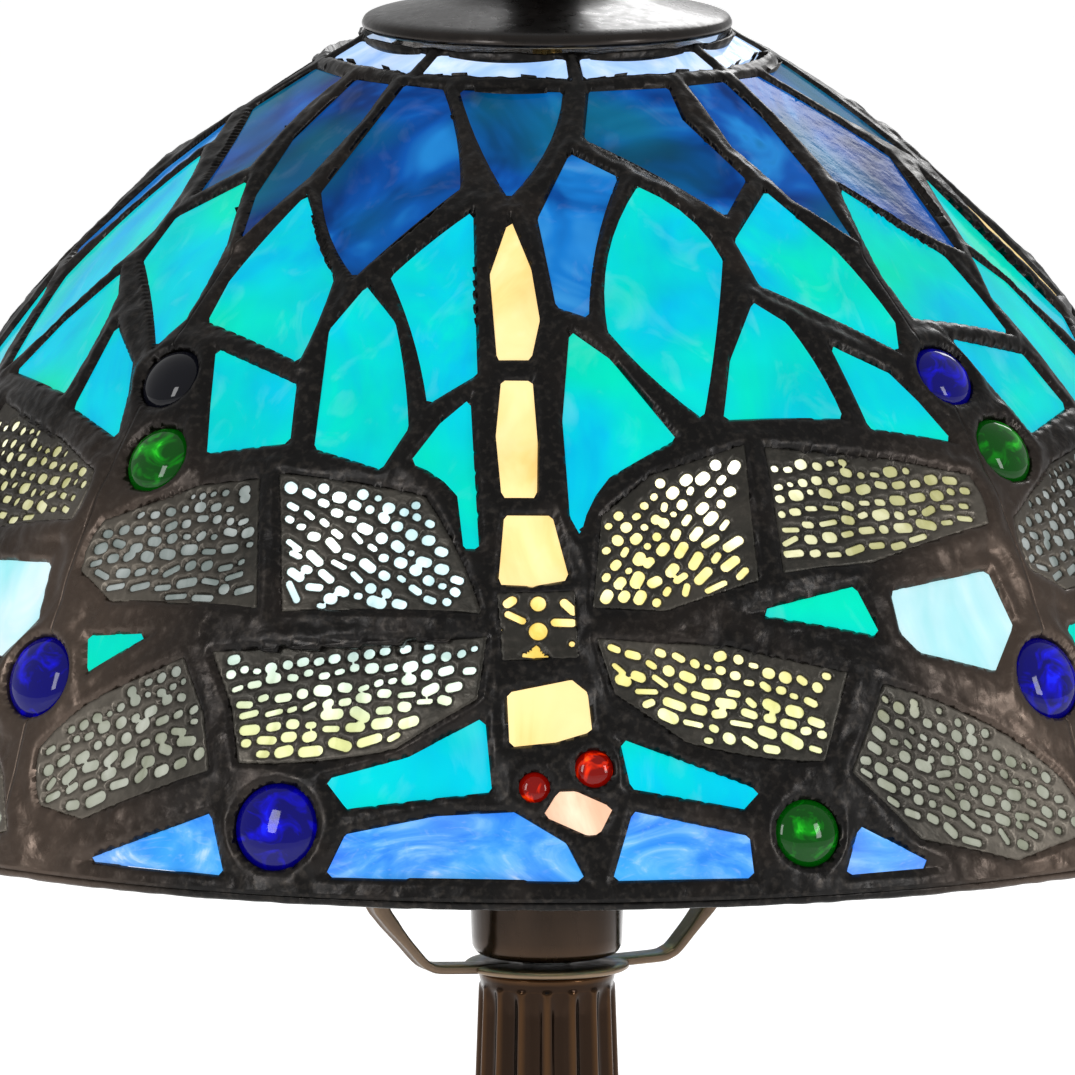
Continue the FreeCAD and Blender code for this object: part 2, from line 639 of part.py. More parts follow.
BULB_WALL = 0.8
envelope = bulb_solid(0).cut(bulb_solid(BULB_WALL))
save("bulb_envelope", envelope.Solids[0])
cap_solid = turned_above_rim(
    [
        (4.2, BULB_TIP_Z + 1.6),
        (9.0, BULB_TIP_Z + 1.6),
        (SCREW_RADIUS, BULB_TIP_Z + 5),
        (SCREW_RADIUS, BULB_NECK_Z),
        (SCREW_RADIUS - 0.8, BULB_NECK_Z),
        (SCREW_RADIUS - 0.8, BULB_TIP_Z + 5.5),
        (4.2, BULB_TIP_Z + 3),
    ]
)
save("bulb_screw_cap", cap_solid)
contact_top_z = BULB_TIP_Z + 2.8
contact_profile = [(0, BULB_TIP_Z), (3, BULB_TIP_Z), (4.0, contact_top_z), (0, contact_top_z)]
save("bulb_contact", turned_above_rim(contact_profile))
mount_base = BULB_NECK_Z + 1.4
mount = [(0, mount_base), (9, mount_base), (5, mount_base + 6), (3, mount_base + 24), (0, mount_base + 24)]
save("bulb_mount", turned_above_rim(mount))
FILAMENT_RING = 9.0
save("bulb_filament", Part.makeTorus(FILAMENT_RING, 0.5, above_rim(0, BULB_CENTRE_Z)))


# ---------------------------------------------------------------- column, foot and fastenings
COLUMN_TAPER = 0.036
TRUMPET_FLARE = 9.0
TRUMPET_LENGTH = 180.0


def column_radius(drop):
    """The column's radius below its top: a slow taper that opens into a trumpet at the foot."""
    return NECK_RADIUS + COLUMN_TAPER * drop + TRUMPET_FLARE * (drop / TRUMPET_LENGTH) ** 4


column_top = RIM_Z + SADDLE_Z - 0.2
column_length = column_top - COLUMN_FOOT_Z
FADE_TOP = 9.0  # the flutes run out over this length below the saddle
FADE_FOOT = 14.0  # and over this length above the foot


def column_section(drop):
    """The fluted outline at one height: plain at both ends, scalloped between."""
    fade = min(1.0, drop / FADE_TOP, (column_length - drop) / FADE_FOOT)
    points = []
    for step in range(FLUTES * 6):
        a = 2 * math.pi * step / (FLUTES * 6)
        hollow = fade * FLUTE_DEPTH * (1 - abs(math.cos(FLUTES * a / 2)) ** 3)
        r = column_radius(drop) - hollow
        points.append(Vector(r * math.sin(a), r * math.cos(a), column_top - drop))
    return Part.makePolygon(points + points[:1])


drops = [0, 1.5, 4, FADE_TOP, 40, 75, 105, 130, 150, column_length - FADE_FOOT, column_length]
column = Part.makeLoft([column_section(d) for d in drops], True, True)
neck_bore = PIPE_RADIUS + PIPE_CLEARANCE
column_bore = Part.makeCylinder(neck_bore, column_length + 2, Vector(0, 0, COLUMN_FOOT_Z - 1))
save("column", column.cut(column_bore).Solids[0])

foot_outside = [
    (31.5, COLUMN_FOOT_Z - 0.1),
    (33.5, 58.5),
    (31.5, 55.5),
    (35.0, 49.0),
    (42.0, 40.5),
    (52.0, 32.5),
    (64.0, 26.0),
    (73.0, 20.0),
    (74.5, 16.5),
    (79.0, 14.5),
    (FOOT_RADIUS, 9.5),
    (FOOT_RADIUS, FELT),
]
FOOT_WALL = 3.0
foot_inside = [(r - FOOT_WALL, max(FELT, z - FOOT_WALL)) for r, z in reversed(foot_outside[3:])]
foot_profile = [(neck_bore, COLUMN_FOOT_Z - 0.1)] + foot_outside + foot_inside + [(neck_bore, 46.0)]
INLET_Z = 9.0
inlet_start = Vector(0, FOOT_RADIUS - 20, INLET_Z)
inlet_hole = Part.makeCylinder(INLET_RADIUS + 1.4, 30, inlet_start, Vector(0, 1, 0))
foot = turned(foot_profile).cut(inlet_hole)
save("foot", foot.Solids[0])

WEIGHT_LOW, WEIGHT_HIGH = 9.0, 20.5
weight = turned(
    [(neck_bore, WEIGHT_LOW), (62, WEIGHT_LOW), (62, 16), (58, WEIGHT_HIGH), (neck_bore, WEIGHT_HIGH)]
)
save("foot_weight", weight)

NUT_LOW = 3.4
NUT_HEIGHT = 4.4
NUT_RADIUS = 8.6
washer_low, washer_high = NUT_LOW + NUT_HEIGHT + 0.1, WEIGHT_LOW - 0.05
save("lock_washer", ring_about_stem(9.0, neck_bore, washer_low, washer_high))
hexagon = [Rotation(Vector(0, 0, 1), 60 * i).multVec(Vector(NUT_RADIUS, 0, 0)) for i in range(6)]
nut = Part.Face(Part.makePolygon(hexagon + hexagon[:1])).extrude(Vector(0, 0, NUT_HEIGHT))
nut_hole = Part.makeCylinder(PIPE_RADIUS + 0.02, NUT_HEIGHT)
save("hex_nut", nut.cut(nut_hole).translated(Vector(0, 0, NUT_LOW)))
save("threaded_pipe", ring_about_stem(PIPE_RADIUS, PIPE_BORE, PIPE_LOW, PIPE_HIGH))

bushing_out = INLET_RADIUS + 1.35
bushing_length = 8.0
bushing = Part.makeCylinder(bushing_out, bushing_length, Vector(), Vector(0, 1, 0))
flange = Part.makeCylinder(INLET_RADIUS + 2.8, 1.4, Vector(0, bushing_length - 1.4, 0), Vector(0, 1, 0))
hole = Part.makeCylinder(INLET_RADIUS, bushing_length + 2, Vector(0, -1, 0), Vector(0, 1, 0))
bushing = bushing.fuse(flange).cut(hole).removeSplitter()
bushing_y = FOOT_RADIUS - bushing_length + 1.6
save("cord_bushing", bushing.translated(Vector(0, bushing_y, INLET_Z)))
save("felt_pad", Part.makeCylinder(FOOT_RADIUS - 1.5, FELT - 0.05))
print("height", RIM_Z + FINIAL_TOP_Z)
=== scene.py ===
# %% [markdown]
# # A dragonfly lamp in leaded glass
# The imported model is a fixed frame: every piece of the lamp already has its place and its body. This lesson
# dresses that frame. Flat panes of glass keep their CAD shape and get streaky, glowing materials. Everything
# that a hand made soft or lumpy (solder beads, pierced wings, jewels, castings) is worked out again with numpy.

# %% Load the frame
import json
import math

import bpy
import numpy as np
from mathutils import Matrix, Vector


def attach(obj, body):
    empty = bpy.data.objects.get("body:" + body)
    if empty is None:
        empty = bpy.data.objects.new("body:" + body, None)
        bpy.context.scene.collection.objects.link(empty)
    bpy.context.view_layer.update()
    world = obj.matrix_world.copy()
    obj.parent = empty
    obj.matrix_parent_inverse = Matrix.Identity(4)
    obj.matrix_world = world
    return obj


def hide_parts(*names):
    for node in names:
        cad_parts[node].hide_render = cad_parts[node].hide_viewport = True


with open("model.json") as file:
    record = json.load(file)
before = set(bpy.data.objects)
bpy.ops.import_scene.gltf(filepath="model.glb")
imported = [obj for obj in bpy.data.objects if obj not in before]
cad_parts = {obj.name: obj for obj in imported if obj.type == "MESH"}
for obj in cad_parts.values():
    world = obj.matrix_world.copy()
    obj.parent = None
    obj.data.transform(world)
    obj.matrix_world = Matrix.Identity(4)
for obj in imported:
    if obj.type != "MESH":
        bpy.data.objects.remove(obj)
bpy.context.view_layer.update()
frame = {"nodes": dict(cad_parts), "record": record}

rng = np.random.default_rng(12)
MM = 0.001

# %% [markdown]
# ## The camera and the studio
# The lamp is seen from a little above its rim, close enough that the shade runs out of the picture. A very long
# lens keeps the rim's ellipse shallow. The studio is a white sweep with a soft sky and three soft panels, whose
# reflections draw the highlights on the jewels and the bronze.

# %% Camera
RIM_Z = 0.281
VIEW_WIDTH = 0.2198
VIEW_TILT = math.radians(8)
LENS, SENSOR = 800.0, 36.0
aim = Vector((-0.00194, 0.0, RIM_Z + 0.0513))
camera = bpy.data.objects.new("camera", bpy.data.cameras.new("camera"))
camera.data.lens, camera.data.sensor_width = LENS, SENSOR
distance = VIEW_WIDTH * LENS / SENSOR
back = Vector((0.0, -math.cos(VIEW_TILT), math.sin(VIEW_TILT)))
camera.location = aim + back * distance
camera.rotation_mode = "QUATERNION"
camera.rotation_quaternion = (-back).to_track_quat("-Z", "Y")
camera.data.clip_start, camera.data.clip_end = 0.05, 60.0
bpy.context.scene.collection.objects.link(camera)
bpy.context.scene.camera = camera
bpy.context.scene.view_settings.view_transform = "Standard"
print("camera distance", round(distance, 3))


# %% Floor, sky and soft panels
def link(obj):
    """Puts a new object into the scene."""
    bpy.context.scene.collection.objects.link(obj)
    return obj


def new_material(name):
    """A material with its node tree, its shader and its output."""
    mat = bpy.data.materials.new(name)
    mat.use_nodes = True
    return mat, mat.node_tree, mat.node_tree.nodes["Principled BSDF"]


def node(tree, kind, sockets=None, **settings):
    """Adds a node: settings are its properties, sockets its inputs, each a value or another node's output."""
    made = tree.nodes.new("ShaderNode" + kind)
    for key, value in settings.items():
        setattr(made, key, value)
    for key, value in (sockets or {}).items():
        if isinstance(value, bpy.types.NodeSocket):
            tree.links.new(value, made.inputs[key])
        else:
            made.inputs[key].default_value = value
    return made


FLOOR_REACH, SKY_LIGHT, SKY_SEEN = 14.0, 0.5, 1.05
floor_mesh = bpy.data.meshes.new("floor")
floor_corners = [(x * FLOOR_REACH, y * FLOOR_REACH, 0) for x, y in ((-1, -1), (1, -1), (1, 1), (-1, 1))]
floor_mesh.from_pydata(floor_corners, [], [(0, 1, 2, 3)])
floor = link(bpy.data.objects.new("floor", floor_mesh))
floor_mat, floor_tree, floor_shader = new_material("white_floor")
floor_shader.inputs["Base Color"].default_value = (0.92, 0.92, 0.92, 1)
floor_shader.inputs["Roughness"].default_value = 0.7
floor_shader.inputs["Emission Color"].default_value = (1, 1, 1, 1)
floor_shader.inputs["Emission Strength"].default_value = 0.55
floor_mesh.materials.append(floor_mat)

world = bpy.data.worlds.new("studio")
bpy.context.scene.world = world
world.use_nodes = True
tree = world.node_tree
rays = node(tree, "LightPath")
sky = tree.nodes["Background"]
seen = node(tree, "Background", {"Color": (1, 1, 1, 1), "Strength": SKY_SEEN})
sky.inputs["Color"].default_value = (1, 1, 1, 1)
sky.inputs["Strength"].default_value = SKY_LIGHT
mix = node(tree, "MixShader", {0: rays.outputs["Is Camera Ray"], 1: sky.outputs[0], 2: seen.outputs[0]})
tree.links.new(mix.outputs[0], tree.nodes["World Output"].inputs["Surface"])


def panel(name, position, size, power):
    """A square soft light that faces the shade."""
    lamp = bpy.data.lights.new(name, "AREA")
    lamp.shape = "RECTANGLE"
    lamp.size, lamp.size_y, lamp.energy = size[0], size[1], power
    obj = link(bpy.data.objects.new(name, lamp))
    obj.location = position
    toward = Vector((0, 0, RIM_Z + 0.05)) - Vector(position)
    obj.rotation_euler = toward.to_track_quat("-Z", "Y").to_euler()


panel("left_panel", (-1.1, -1.3, 1.0), (0.35, 0.8), 9)
panel("right_panel", (1.3, -1.0, 0.8), (0.3, 0.7), 7)
panel("back_panel", (0.4, 1.6, 1.2), (0.9, 0.6), 9)

# %% [markdown]
# ## Reading the glazier's cartoon from the frame
# The lead lines must follow the glass exactly, so the panes themselves are the pattern. Each CAD glass node holds
# many separate plates as loose triangles. Welding equal corners gives islands; the thin direction of an island is
# its normal; and the edge loop of its outer face is the outline that the solder has to run along.


# %% Islands and outlines
WELD = 5e-6


def welded(name):
    """Corners and triangles of a CAD node, with corners closer than five microns joined."""
    mesh = frame["nodes"][name].data
    mesh.calc_loop_triangles()
    points = np.empty(len(mesh.vertices) * 3)
    mesh.vertices.foreach_get("co", points)
    tris = np.empty(len(mesh.loop_triangles) * 3, np.int64)
    mesh.loop_triangles.foreach_get("vertices", tris)
    keys = np.round(points.reshape(-1, 3) / WELD).astype(np.int64)
    _, first, same = np.unique(keys, axis=0, return_index=True, return_inverse=True)
    return points.reshape(-1, 3)[first], same.reshape(-1)[tris].reshape(-1, 3)


def islands(name):
    """Each separate solid of a CAD node, as its corners and triangles."""
    points, tris = welded(name)
    label = np.arange(len(points))
    while True:
        low = label[tris].min(axis=1)
        before = label.copy()
        np.minimum.at(label, tris.reshape(-1), np.repeat(low, 3))
        label = label[label]
        if np.array_equal(before, label):
            break
    parts = []
    for value in np.unique(label[tris[:, 0]]):
        own = tris[label[tris[:, 0]] == value]
        used, local = np.unique(own, return_inverse=True)
        parts.append((points[used], local.reshape(-1, 3)))
    return parts


def outer_loop(points, tris):
    """The outline of a plate's outer face in order, its centre and its outward normal."""
    centre = points.mean(axis=0)
    normal = np.linalg.svd(points - centre)[2][2]
    if normal[:2] @ centre[:2] < 0:
        normal = -normal
    a, b, c = (points[tris[:, i]] for i in range(3))
    area = np.cross(b - a, c - a)
    facing = area @ normal > 0.9 * np.linalg.norm(area, axis=1)
    caps = tris[facing]
    edges = {(t[i], t[(i + 1) % 3]) for t in caps.tolist() for i in range(3)}
    step = {start: end for start, end in edges if (end, start) not in edges}
    loop = [min(step)]
    while step[loop[-1]] != loop[0]:
        loop.append(step[loop[-1]])
    return points[loop], centre, normal


PANE_NODES = [n for n in frame["nodes"] if n.endswith("_glass")]
WING_NODES = ["inner_wing_glass", "outer_wing_glass"]
JEWEL_NODES = ["blue_jewels", "green_jewels", "eye_jewels"]
panes = {name: [outer_loop(*part) for part in islands(name)] for name in PANE_NODES}
print("panes", sum(len(p) for p in panes.values()))

# %% [markdown]
# ## The dome as a surface
# A grid of two parameters covers one quarter of the shade: the angle round the stem and the distance along the
# profile. The profile is one circular arc from the rim to the shoulder, then a short cone under the cap.

# %% The dome's profile
ARC, ARC_X, ARC_Z = 0.2238, -0.0672, -0.045
SHOULDER, CROWN, CROWN_R = 0.148, 0.1536, 0.0366
GLASS_HALF, JEWEL_BACK = 0.0015, 0.0018


def dome_profile(steps, low=-0.0006):
    """Radius, height above the rim and outward normal along the arc, then along the cone to the cap."""
    start, end = np.arcsin((low - ARC_Z) / ARC), np.arcsin((SHOULDER - ARC_Z) / ARC)
    cone_steps = max(3, steps // 18)
    phi = np.linspace(start, end, steps - cone_steps)
    r, z = ARC_X + ARC * np.cos(phi), ARC_Z + ARC * np.sin(phi)
    t = np.linspace(0, 1, cone_steps + 1)[1:]
    slope = np.array([CROWN - SHOULDER, r[-1] - CROWN_R])
    slope /= np.linalg.norm(slope)
    radius = np.concatenate([r, r[-1] + t * (CROWN_R - r[-1])])
    height = np.concatenate([z, SHOULDER + t * (CROWN - SHOULDER)])
    nr = np.concatenate([np.cos(phi), np.full(cone_steps, slope[0])])
    nz = np.concatenate([np.sin(phi), np.full(cone_steps, slope[1])])
    return radius, height, nr, nz


def dome_point(angle, radius, height):
    """Points of the shade from angle (radians from the front, towards +X), radius and height above the rim."""
    return np.stack([radius * np.sin(angle), -radius * np.cos(angle), RIM_Z + height], axis=-1)


def jewel_seats():
    """Centre, outward normal and radius of every jewel, read from the CAD solids."""
    seats = []
    for name in JEWEL_NODES:
        for points, tris in islands(name):
            middle = points.mean(axis=0)
            angle = np.arctan2(middle[0], -middle[1])
            across = np.hypot(middle[0], middle[1]) - ARC_X
            rise = middle[2] - RIM_Z - ARC_Z
            tilt = np.arctan2(rise, across)
            normal = np.array([np.cos(tilt) * np.sin(angle), -np.cos(tilt) * np.cos(angle), np.sin(tilt)])
            along = points @ normal
            seat = middle + normal * (along.min() + JEWEL_BACK - middle @ normal)
            gap = points - middle
            radius = np.linalg.norm(gap - np.outer(gap @ normal, normal), axis=1).max()
            seats.append((name, seat, normal, radius))
    return seats


jewels = jewel_seats()
print("jewels", len(jewels), "radii mm", sorted({round(j[3] / MM, 1) for j in jewels}))


# %% Segments of every window
def circle_loop(seat, normal, radius, steps=28):
    """A round window as a loop of points about a jewel's seat."""
    side = np.cross(normal, [0, 0, 1.0])
    side /= np.linalg.norm(side)
    up = np.cross(normal, side)
    a = np.linspace(0, 2 * np.pi, steps, endpoint=False)[:, None]
    return seat + radius * (np.cos(a) * side + np.sin(a) * up)


OVERLAY_LIFT, JEWEL_LIFT = 0.0005, 0.0006
windows = []
for name, loops in panes.items():
    lift = OVERLAY_LIFT if name in WING_NODES or name == "thorax_glass" else 0.0
    for loop, centre, normal in loops:
        windows.append((loop - normal * GLASS_HALF, lift))
for _, seat, normal, radius in jewels:
    windows.append((circle_loop(seat, normal, radius), JEWEL_LIFT))


def offset_from_dome(points):
    """How far points stand out of the dome's arc, measured across the arc."""
    across = np.hypot(points[:, 0], points[:, 1]) - ARC_X
    rise = points[:, 2] - RIM_Z - ARC_Z
    return np.where(points[:, 2] - RIM_Z < SHOULDER, np.hypot(across, rise) - ARC, 0.0)


def near_quarter(loop):
    """Whether a window comes within a few degrees of the front quarter."""
    angle = np.abs(np.arctan2(loop[:, 0], -loop[:, 1])).min()
    return angle < math.radians(52) and loop[:, 1].mean() < 0.02


front = [w for w in windows if near_quarter(w[0])]
starts = np.concatenate([w[0] for w in front])
ends = np.concatenate([np.roll(w[0], -1, axis=0) for w in front])
lifts = np.concatenate([np.full(len(w[0]), w[1]) for w in front])
start_out, end_out = offset_from_dome(starts) + lifts, offset_from_dome(ends) + lifts
print("windows near the front quarter", len(front), "segments", len(starts))

# %% [markdown]
# ## Solder, as a height over distance
# Molten solder bridges two foiled edges and freezes as a rounded bead. So for each grid point the nearest window
# edge is found, and the bead's height is a quarter ellipse of that distance, topped with a few slow waves where the
# metal pooled. Grid points near an edge are slid onto it, which gives clean outlines from a coarse grid, and cells
# inside the windows are dropped. The same grid, moved inwards, is the inside of the shade.


# %% Distance, sides and waves
def point_to_segments(points):
    """Nearest distance, nearest point and blended height of the glass edges, for each point of a block."""
    along = ends - starts
    length2 = (along**2).sum(axis=1)
    gap = points[:, None, :] - starts[None]
    t = np.clip((gap * along[None]).sum(axis=2) / length2[None], 0, 1)
    rest = gap - t[..., None] * along[None]
    d2 = (rest**2).sum(axis=2)
    best = d2.argmin(axis=1)
    rows = np.arange(len(points))
    weight = (d2 + 4e-7) ** -2.5
    height = (weight * (start_out + t * (end_out - start_out))).sum(axis=1) / weight.sum(axis=1)
    return np.sqrt(d2[rows, best]), points - rest[rows, best], height


def in_windows(angle, height):
    """Whether points of the (angle, height) plane lie inside any window, by counting crossings."""
    hit = np.zeros(angle.shape, bool)
    for loop, _ in front:
        a, z = np.arctan2(loop[:, 0], -loop[:, 1]), loop[:, 2] - RIM_Z
        in_box = (angle > a.min()) & (angle < a.max()) & (height > z.min()) & (height < z.max())
        near = np.flatnonzero(in_box)
        odd = np.zeros(len(near), bool)
        for a0, z0, a1, z1 in zip(a, z, np.roll(a, -1), np.roll(z, -1)):
            crosses = (z0 > height[near]) != (z1 > height[near])
            where = a0 + (height[near] - z0) * (a1 - a0) / (z1 - z0 + 1e-15)
            odd ^= crosses & (angle[near] < where)
        hit[near[odd]] = True
    return hit


def waves(points, longest, count=26):
    """A smooth random field between about -1 and 1: a sum of plane waves of random direction and phase."""
    direction = rng.normal(size=(3, count))
    direction /= np.linalg.norm(direction, axis=0)
    size = longest * rng.uniform(0.35, 1.0, count)
    phase = rng.uniform(0, 2 * np.pi, count)
    return np.cos(points @ direction * (2 * np.pi / size) + phase).sum(axis=1) / math.sqrt(count)


# %% Slabs: two skins closed at every edge
def make_object(name, points, faces):
    """A smooth mesh object at the origin from an array of points and a list of face arrays."""
    mesh = bpy.data.meshes.new(name)
    rows = [f for block in faces for f in block.tolist()]
    mesh.from_pydata(points.tolist(), [], rows)
    mesh.polygons.foreach_set("use_smooth", np.full(len(mesh.polygons), True))
    mesh.update()
    return link(bpy.data.objects.new(name, mesh))


def grid_cells(rows, columns):
    """The four corners of every cell of a grid whose points are stored row by row."""
    index = np.arange(rows * columns).reshape(rows, columns)
    return np.stack([index[:-1, :-1], index[:-1, 1:], index[1:, 1:], index[1:, :-1]], axis=-1).reshape(-1, 4)


def kept_faces(cells, keep):
    """Whole cells whose corners are all kept, and the triangle of those that keep three."""
    held = keep[cells]
    whole = cells[held.all(axis=1)]
    three = cells[held.sum(axis=1) == 3]
    lost = (~keep[three]).argmax(axis=1)
    turn = (lost[:, None] + np.arange(1, 4)) % 4
    return whole, three[np.arange(len(three))[:, None], turn]


def slab(name, outer, inner, quads, tris):
    """A closed piece from two skins that share their faces: the second is turned over, and walls join the rims."""
    sides = [block[:, [i, (i + 1) % n]] for block, n in ((quads, 4), (tris, 3)) for i in range(n)]
    edges, size = np.concatenate(sides), len(outer)
    key, back_key = edges[:, 0] * size + edges[:, 1], edges[:, 1] * size + edges[:, 0]
    rim = edges[~np.isin(back_key, key)]
    walls = np.stack([rim[:, 1], rim[:, 0], rim[:, 0] + size, rim[:, 1] + size], axis=1)
    used = np.unique(np.concatenate([quads.reshape(-1), tris.reshape(-1)]))
    renumbered = np.full(size, -1)
    renumbered[used] = np.arange(len(used))
    renumbered = np.concatenate([renumbered, renumbered + len(used)])
    points = np.concatenate([outer[used], inner[used]])
    faces = [quads, tris, quads[:, ::-1] + size, tris[:, ::-1] + size, walls]
    return make_object(name, points, [renumbered[f] for f in faces if len(f)])


def turned_about(points, degrees):
    """Points turned about the stem."""
    a = math.radians(degrees)
    c, s = math.cos(a), math.sin(a)
    return np.stack([c * points[:, 0] - s * points[:, 1], s * points[:, 0] + c * points[:, 1], points[:, 2]], axis=1)


# %% The solder of one quarter, four times
ROUND_STEPS, UP_STEPS = ((330, 238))
OVERLAP = 0.00012
BEAD_WIDTH, BEAD_OUT, BEAD_IN = 0.0020, 0.0010, 0.0008
LUMPS, POOL_WIDTH = 0.00016, 0.003
SNAP = 0.62
BLOCK = 1500

radius, height, nr, nz = dome_profile(UP_STEPS)
angle = np.linspace(-math.pi / 4, math.pi / 4, ROUND_STEPS)
A = np.repeat(angle[None], UP_STEPS, axis=0).reshape(-1)
R, Z = np.repeat(radius, ROUND_STEPS), np.repeat(height, ROUND_STEPS)
NR, NZ = np.repeat(nr, ROUND_STEPS), np.repeat(nz, ROUND_STEPS)
base = dome_point(A, R, Z)
out = np.stack([NR * np.sin(A), -NR * np.cos(A), NZ], axis=1)

blocks = [point_to_segments(base[i : i + BLOCK]) for i in range(0, len(base), BLOCK)]
edge_gap, edge_point, glass_height = (np.concatenate(b) for b in zip(*blocks))
signed = np.where(in_windows(A, Z), -edge_gap, edge_gap)
flat_gap = base - edge_point
flat_gap -= (flat_gap * out).sum(axis=1)[:, None] * out
flat_size = np.linalg.norm(flat_gap, axis=1) + 1e-12
away = flat_gap / flat_size[:, None] * np.sign(signed)[:, None]
lead = flat_size * np.sign(signed) + OVERLAP
cell_up = float(np.hypot(radius[1] - radius[0], height[1] - height[0]))
cell = max(R.max() * (angle[1] - angle[0]), cell_up)
edge_row = (np.abs(A) > math.pi / 4 - 1e-6) | (Z < Z.min() + 1e-6) | (Z > Z.max() - 1e-6)
snap = (np.abs(lead) < SNAP * cell) & ~edge_row
base[snap] -= away[snap] * lead[snap][:, None]
lead[snap] = 0.0
keep = lead >= 0
bead = np.sqrt(np.clip(1 - (1 - np.clip(lead, 0, BEAD_WIDTH) / BEAD_WIDTH) ** 2, 0, 1))
pooled = np.clip(lead / POOL_WIDTH, 0, 1)
ripple = waves(base, 0.011) + 0.6 * waves(base, 0.004)
seam_fade = np.clip((math.pi / 4 - np.abs(A)) / 0.05, 0, 1)
outer_lumps = LUMPS * ripple * pooled * (0.4 + 0.6 * seam_fade) * seam_fade
inner_lumps = 0.6 * LUMPS * waves(base, 0.009) * pooled * seam_fade
outer_height = glass_height + GLASS_HALF + BEAD_OUT * bead + outer_lumps
inner_height = glass_height - GLASS_HALF - BEAD_IN * bead + inner_lumps
outer_skin = base + out * outer_height[:, None]
inner_skin = base + out * inner_height[:, None]
quads, tris = kept_faces(grid_cells(UP_STEPS, ROUND_STEPS), keep)
solder_parts = []
for quarter in range(4):
    turn_by = 90 * quarter
    skins = turned_about(outer_skin, turn_by), turned_about(inner_skin, turn_by)
    piece = slab("solder_quarter_%d" % quarter, *skins, quads, tris)
    faces_at = np.empty(len(piece.data.polygons) * 3)
    piece.data.polygons.foreach_get("center", faces_at)
    turned = np.degrees(np.arctan2(faces_at[0::3], -faces_at[1::3])) - turn_by
    on_seam = np.abs(np.abs((turned + 180) % 360 - 180) - 45) < 1e-3
    piece.data.polygons.foreach_set("use_smooth", ~on_seam)
    solder_parts.append(piece)
print("solder faces in a quarter", len(solder_parts[0].data.polygons), "cell mm", round(cell / MM, 2))

# %% [markdown]
# ## Turned and carried shapes
# A lathe shape is one profile carried round the stem, so its points are a grid of (profile step, angle). A profile
# that comes back to its start makes a closed ring; one that starts and ends on the stem is closed there by a fan.
# Corner cutting rounds a profile first: each corner is replaced by two points a little way along its sides, as a
# spun or cast edge is never sharp. The same grid idea makes wires: a small ring carried along a path.


# %% Profiles, rings and tubes
def eased(profile, passes=2, share=0.22, closed=False):
    """Corner cutting: every corner gives way to points a share of the way along its two sides."""
    p = np.asarray(profile, float)
    for _ in range(passes):
        following = np.roll(p, -1, axis=0) if closed else p[1:]
        here = p if closed else p[:-1]
        near, far = here + share * (following - here), following - share * (following - here)
        cut = np.stack([near, far], axis=1).reshape(-1, p.shape[1])
        p = cut if closed else np.concatenate([p[:1], cut, p[-1:]])
    return p


def ring_grid(points, close_rows):
    """Faces over rings (rows x steps x 3): the steps wrap; the rows wrap if asked, or else end in two fans."""
    rows, steps = points.shape[:2]
    index = np.arange(rows * steps).reshape(rows, steps)
    if close_rows:
        index = np.concatenate([index, index[:1]])
    index = np.concatenate([index, index[:, :1]], axis=1)
    quads = np.stack([index[:-1, :-1], index[:-1, 1:], index[1:, 1:], index[1:, :-1]], axis=-1).reshape(-1, 4)
    flat = points.reshape(-1, 3)
    if close_rows:
        return flat, [quads]
    ends = np.stack([points[0].mean(axis=0), points[-1].mean(axis=0)])
    first, last, size = index[0], index[-1], len(flat)
    low_fan = np.stack([np.full(steps, size), first[1:], first[:-1]], axis=1)
    high_fan = np.stack([np.full(steps, size + 1), last[:-1], last[1:]], axis=1)
    return np.concatenate([flat, ends]), [quads, low_fan, high_fan]


def lathed(profile, steps=96, closed=True):
    """Rings of a profile (radius, height) in metres: x is r times sin a, y is minus r times cos a."""
    p = np.asarray(profile, float)
    a = np.linspace(0, 2 * np.pi, steps, endpoint=False)[None, :]
    r, z = np.repeat(p[:, :1], steps, axis=1), np.repeat(p[:, 1:], steps, axis=1)
    return ring_grid(np.stack([r * np.sin(a), -r * np.cos(a), z], axis=-1), closed)


def tube(path, side, radius, steps=20):
    """A wire: a ring of a radius in the plane of side and of the path's own normal, at every path point."""
    along = np.gradient(path, axis=0)
    along /= np.linalg.norm(along, axis=1)[:, None]
    normal = np.cross(along, side)
    t = np.linspace(0, 2 * np.pi, steps, endpoint=False)[None, :, None]
    size = np.asarray(radius, float).reshape(-1, 1, 1)
    ring = size * (np.cos(t) * normal[:, None, :] + np.sin(t) * np.asarray(side)[None, None, :])
    return ring_grid(path[:, None, :] + ring, False)


def joined(blocks):
    """Several point and face blocks as one."""
    points, faces, base_index = [], [], 0
    for block_points, block_faces in blocks:
        points.append(block_points)
        faces += [f + base_index for f in block_faces]
        base_index += len(block_points)
    return np.concatenate(points), faces


def above(profile):
    """A profile in mm above the rim as metres above the table."""
    return np.asarray(profile, float) * MM + np.array([0, RIM_Z])


def fit(piece, body, slot, *nodes):
    """Gives a finished piece its body and hides the CAD nodes that it stands for; the slot argument is not used."""
    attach(piece, body)
    if nodes:
        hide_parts(*nodes)
    return piece


for piece in solder_parts:
    fit(piece, "shade", "dark_solder", "solder_lattice")
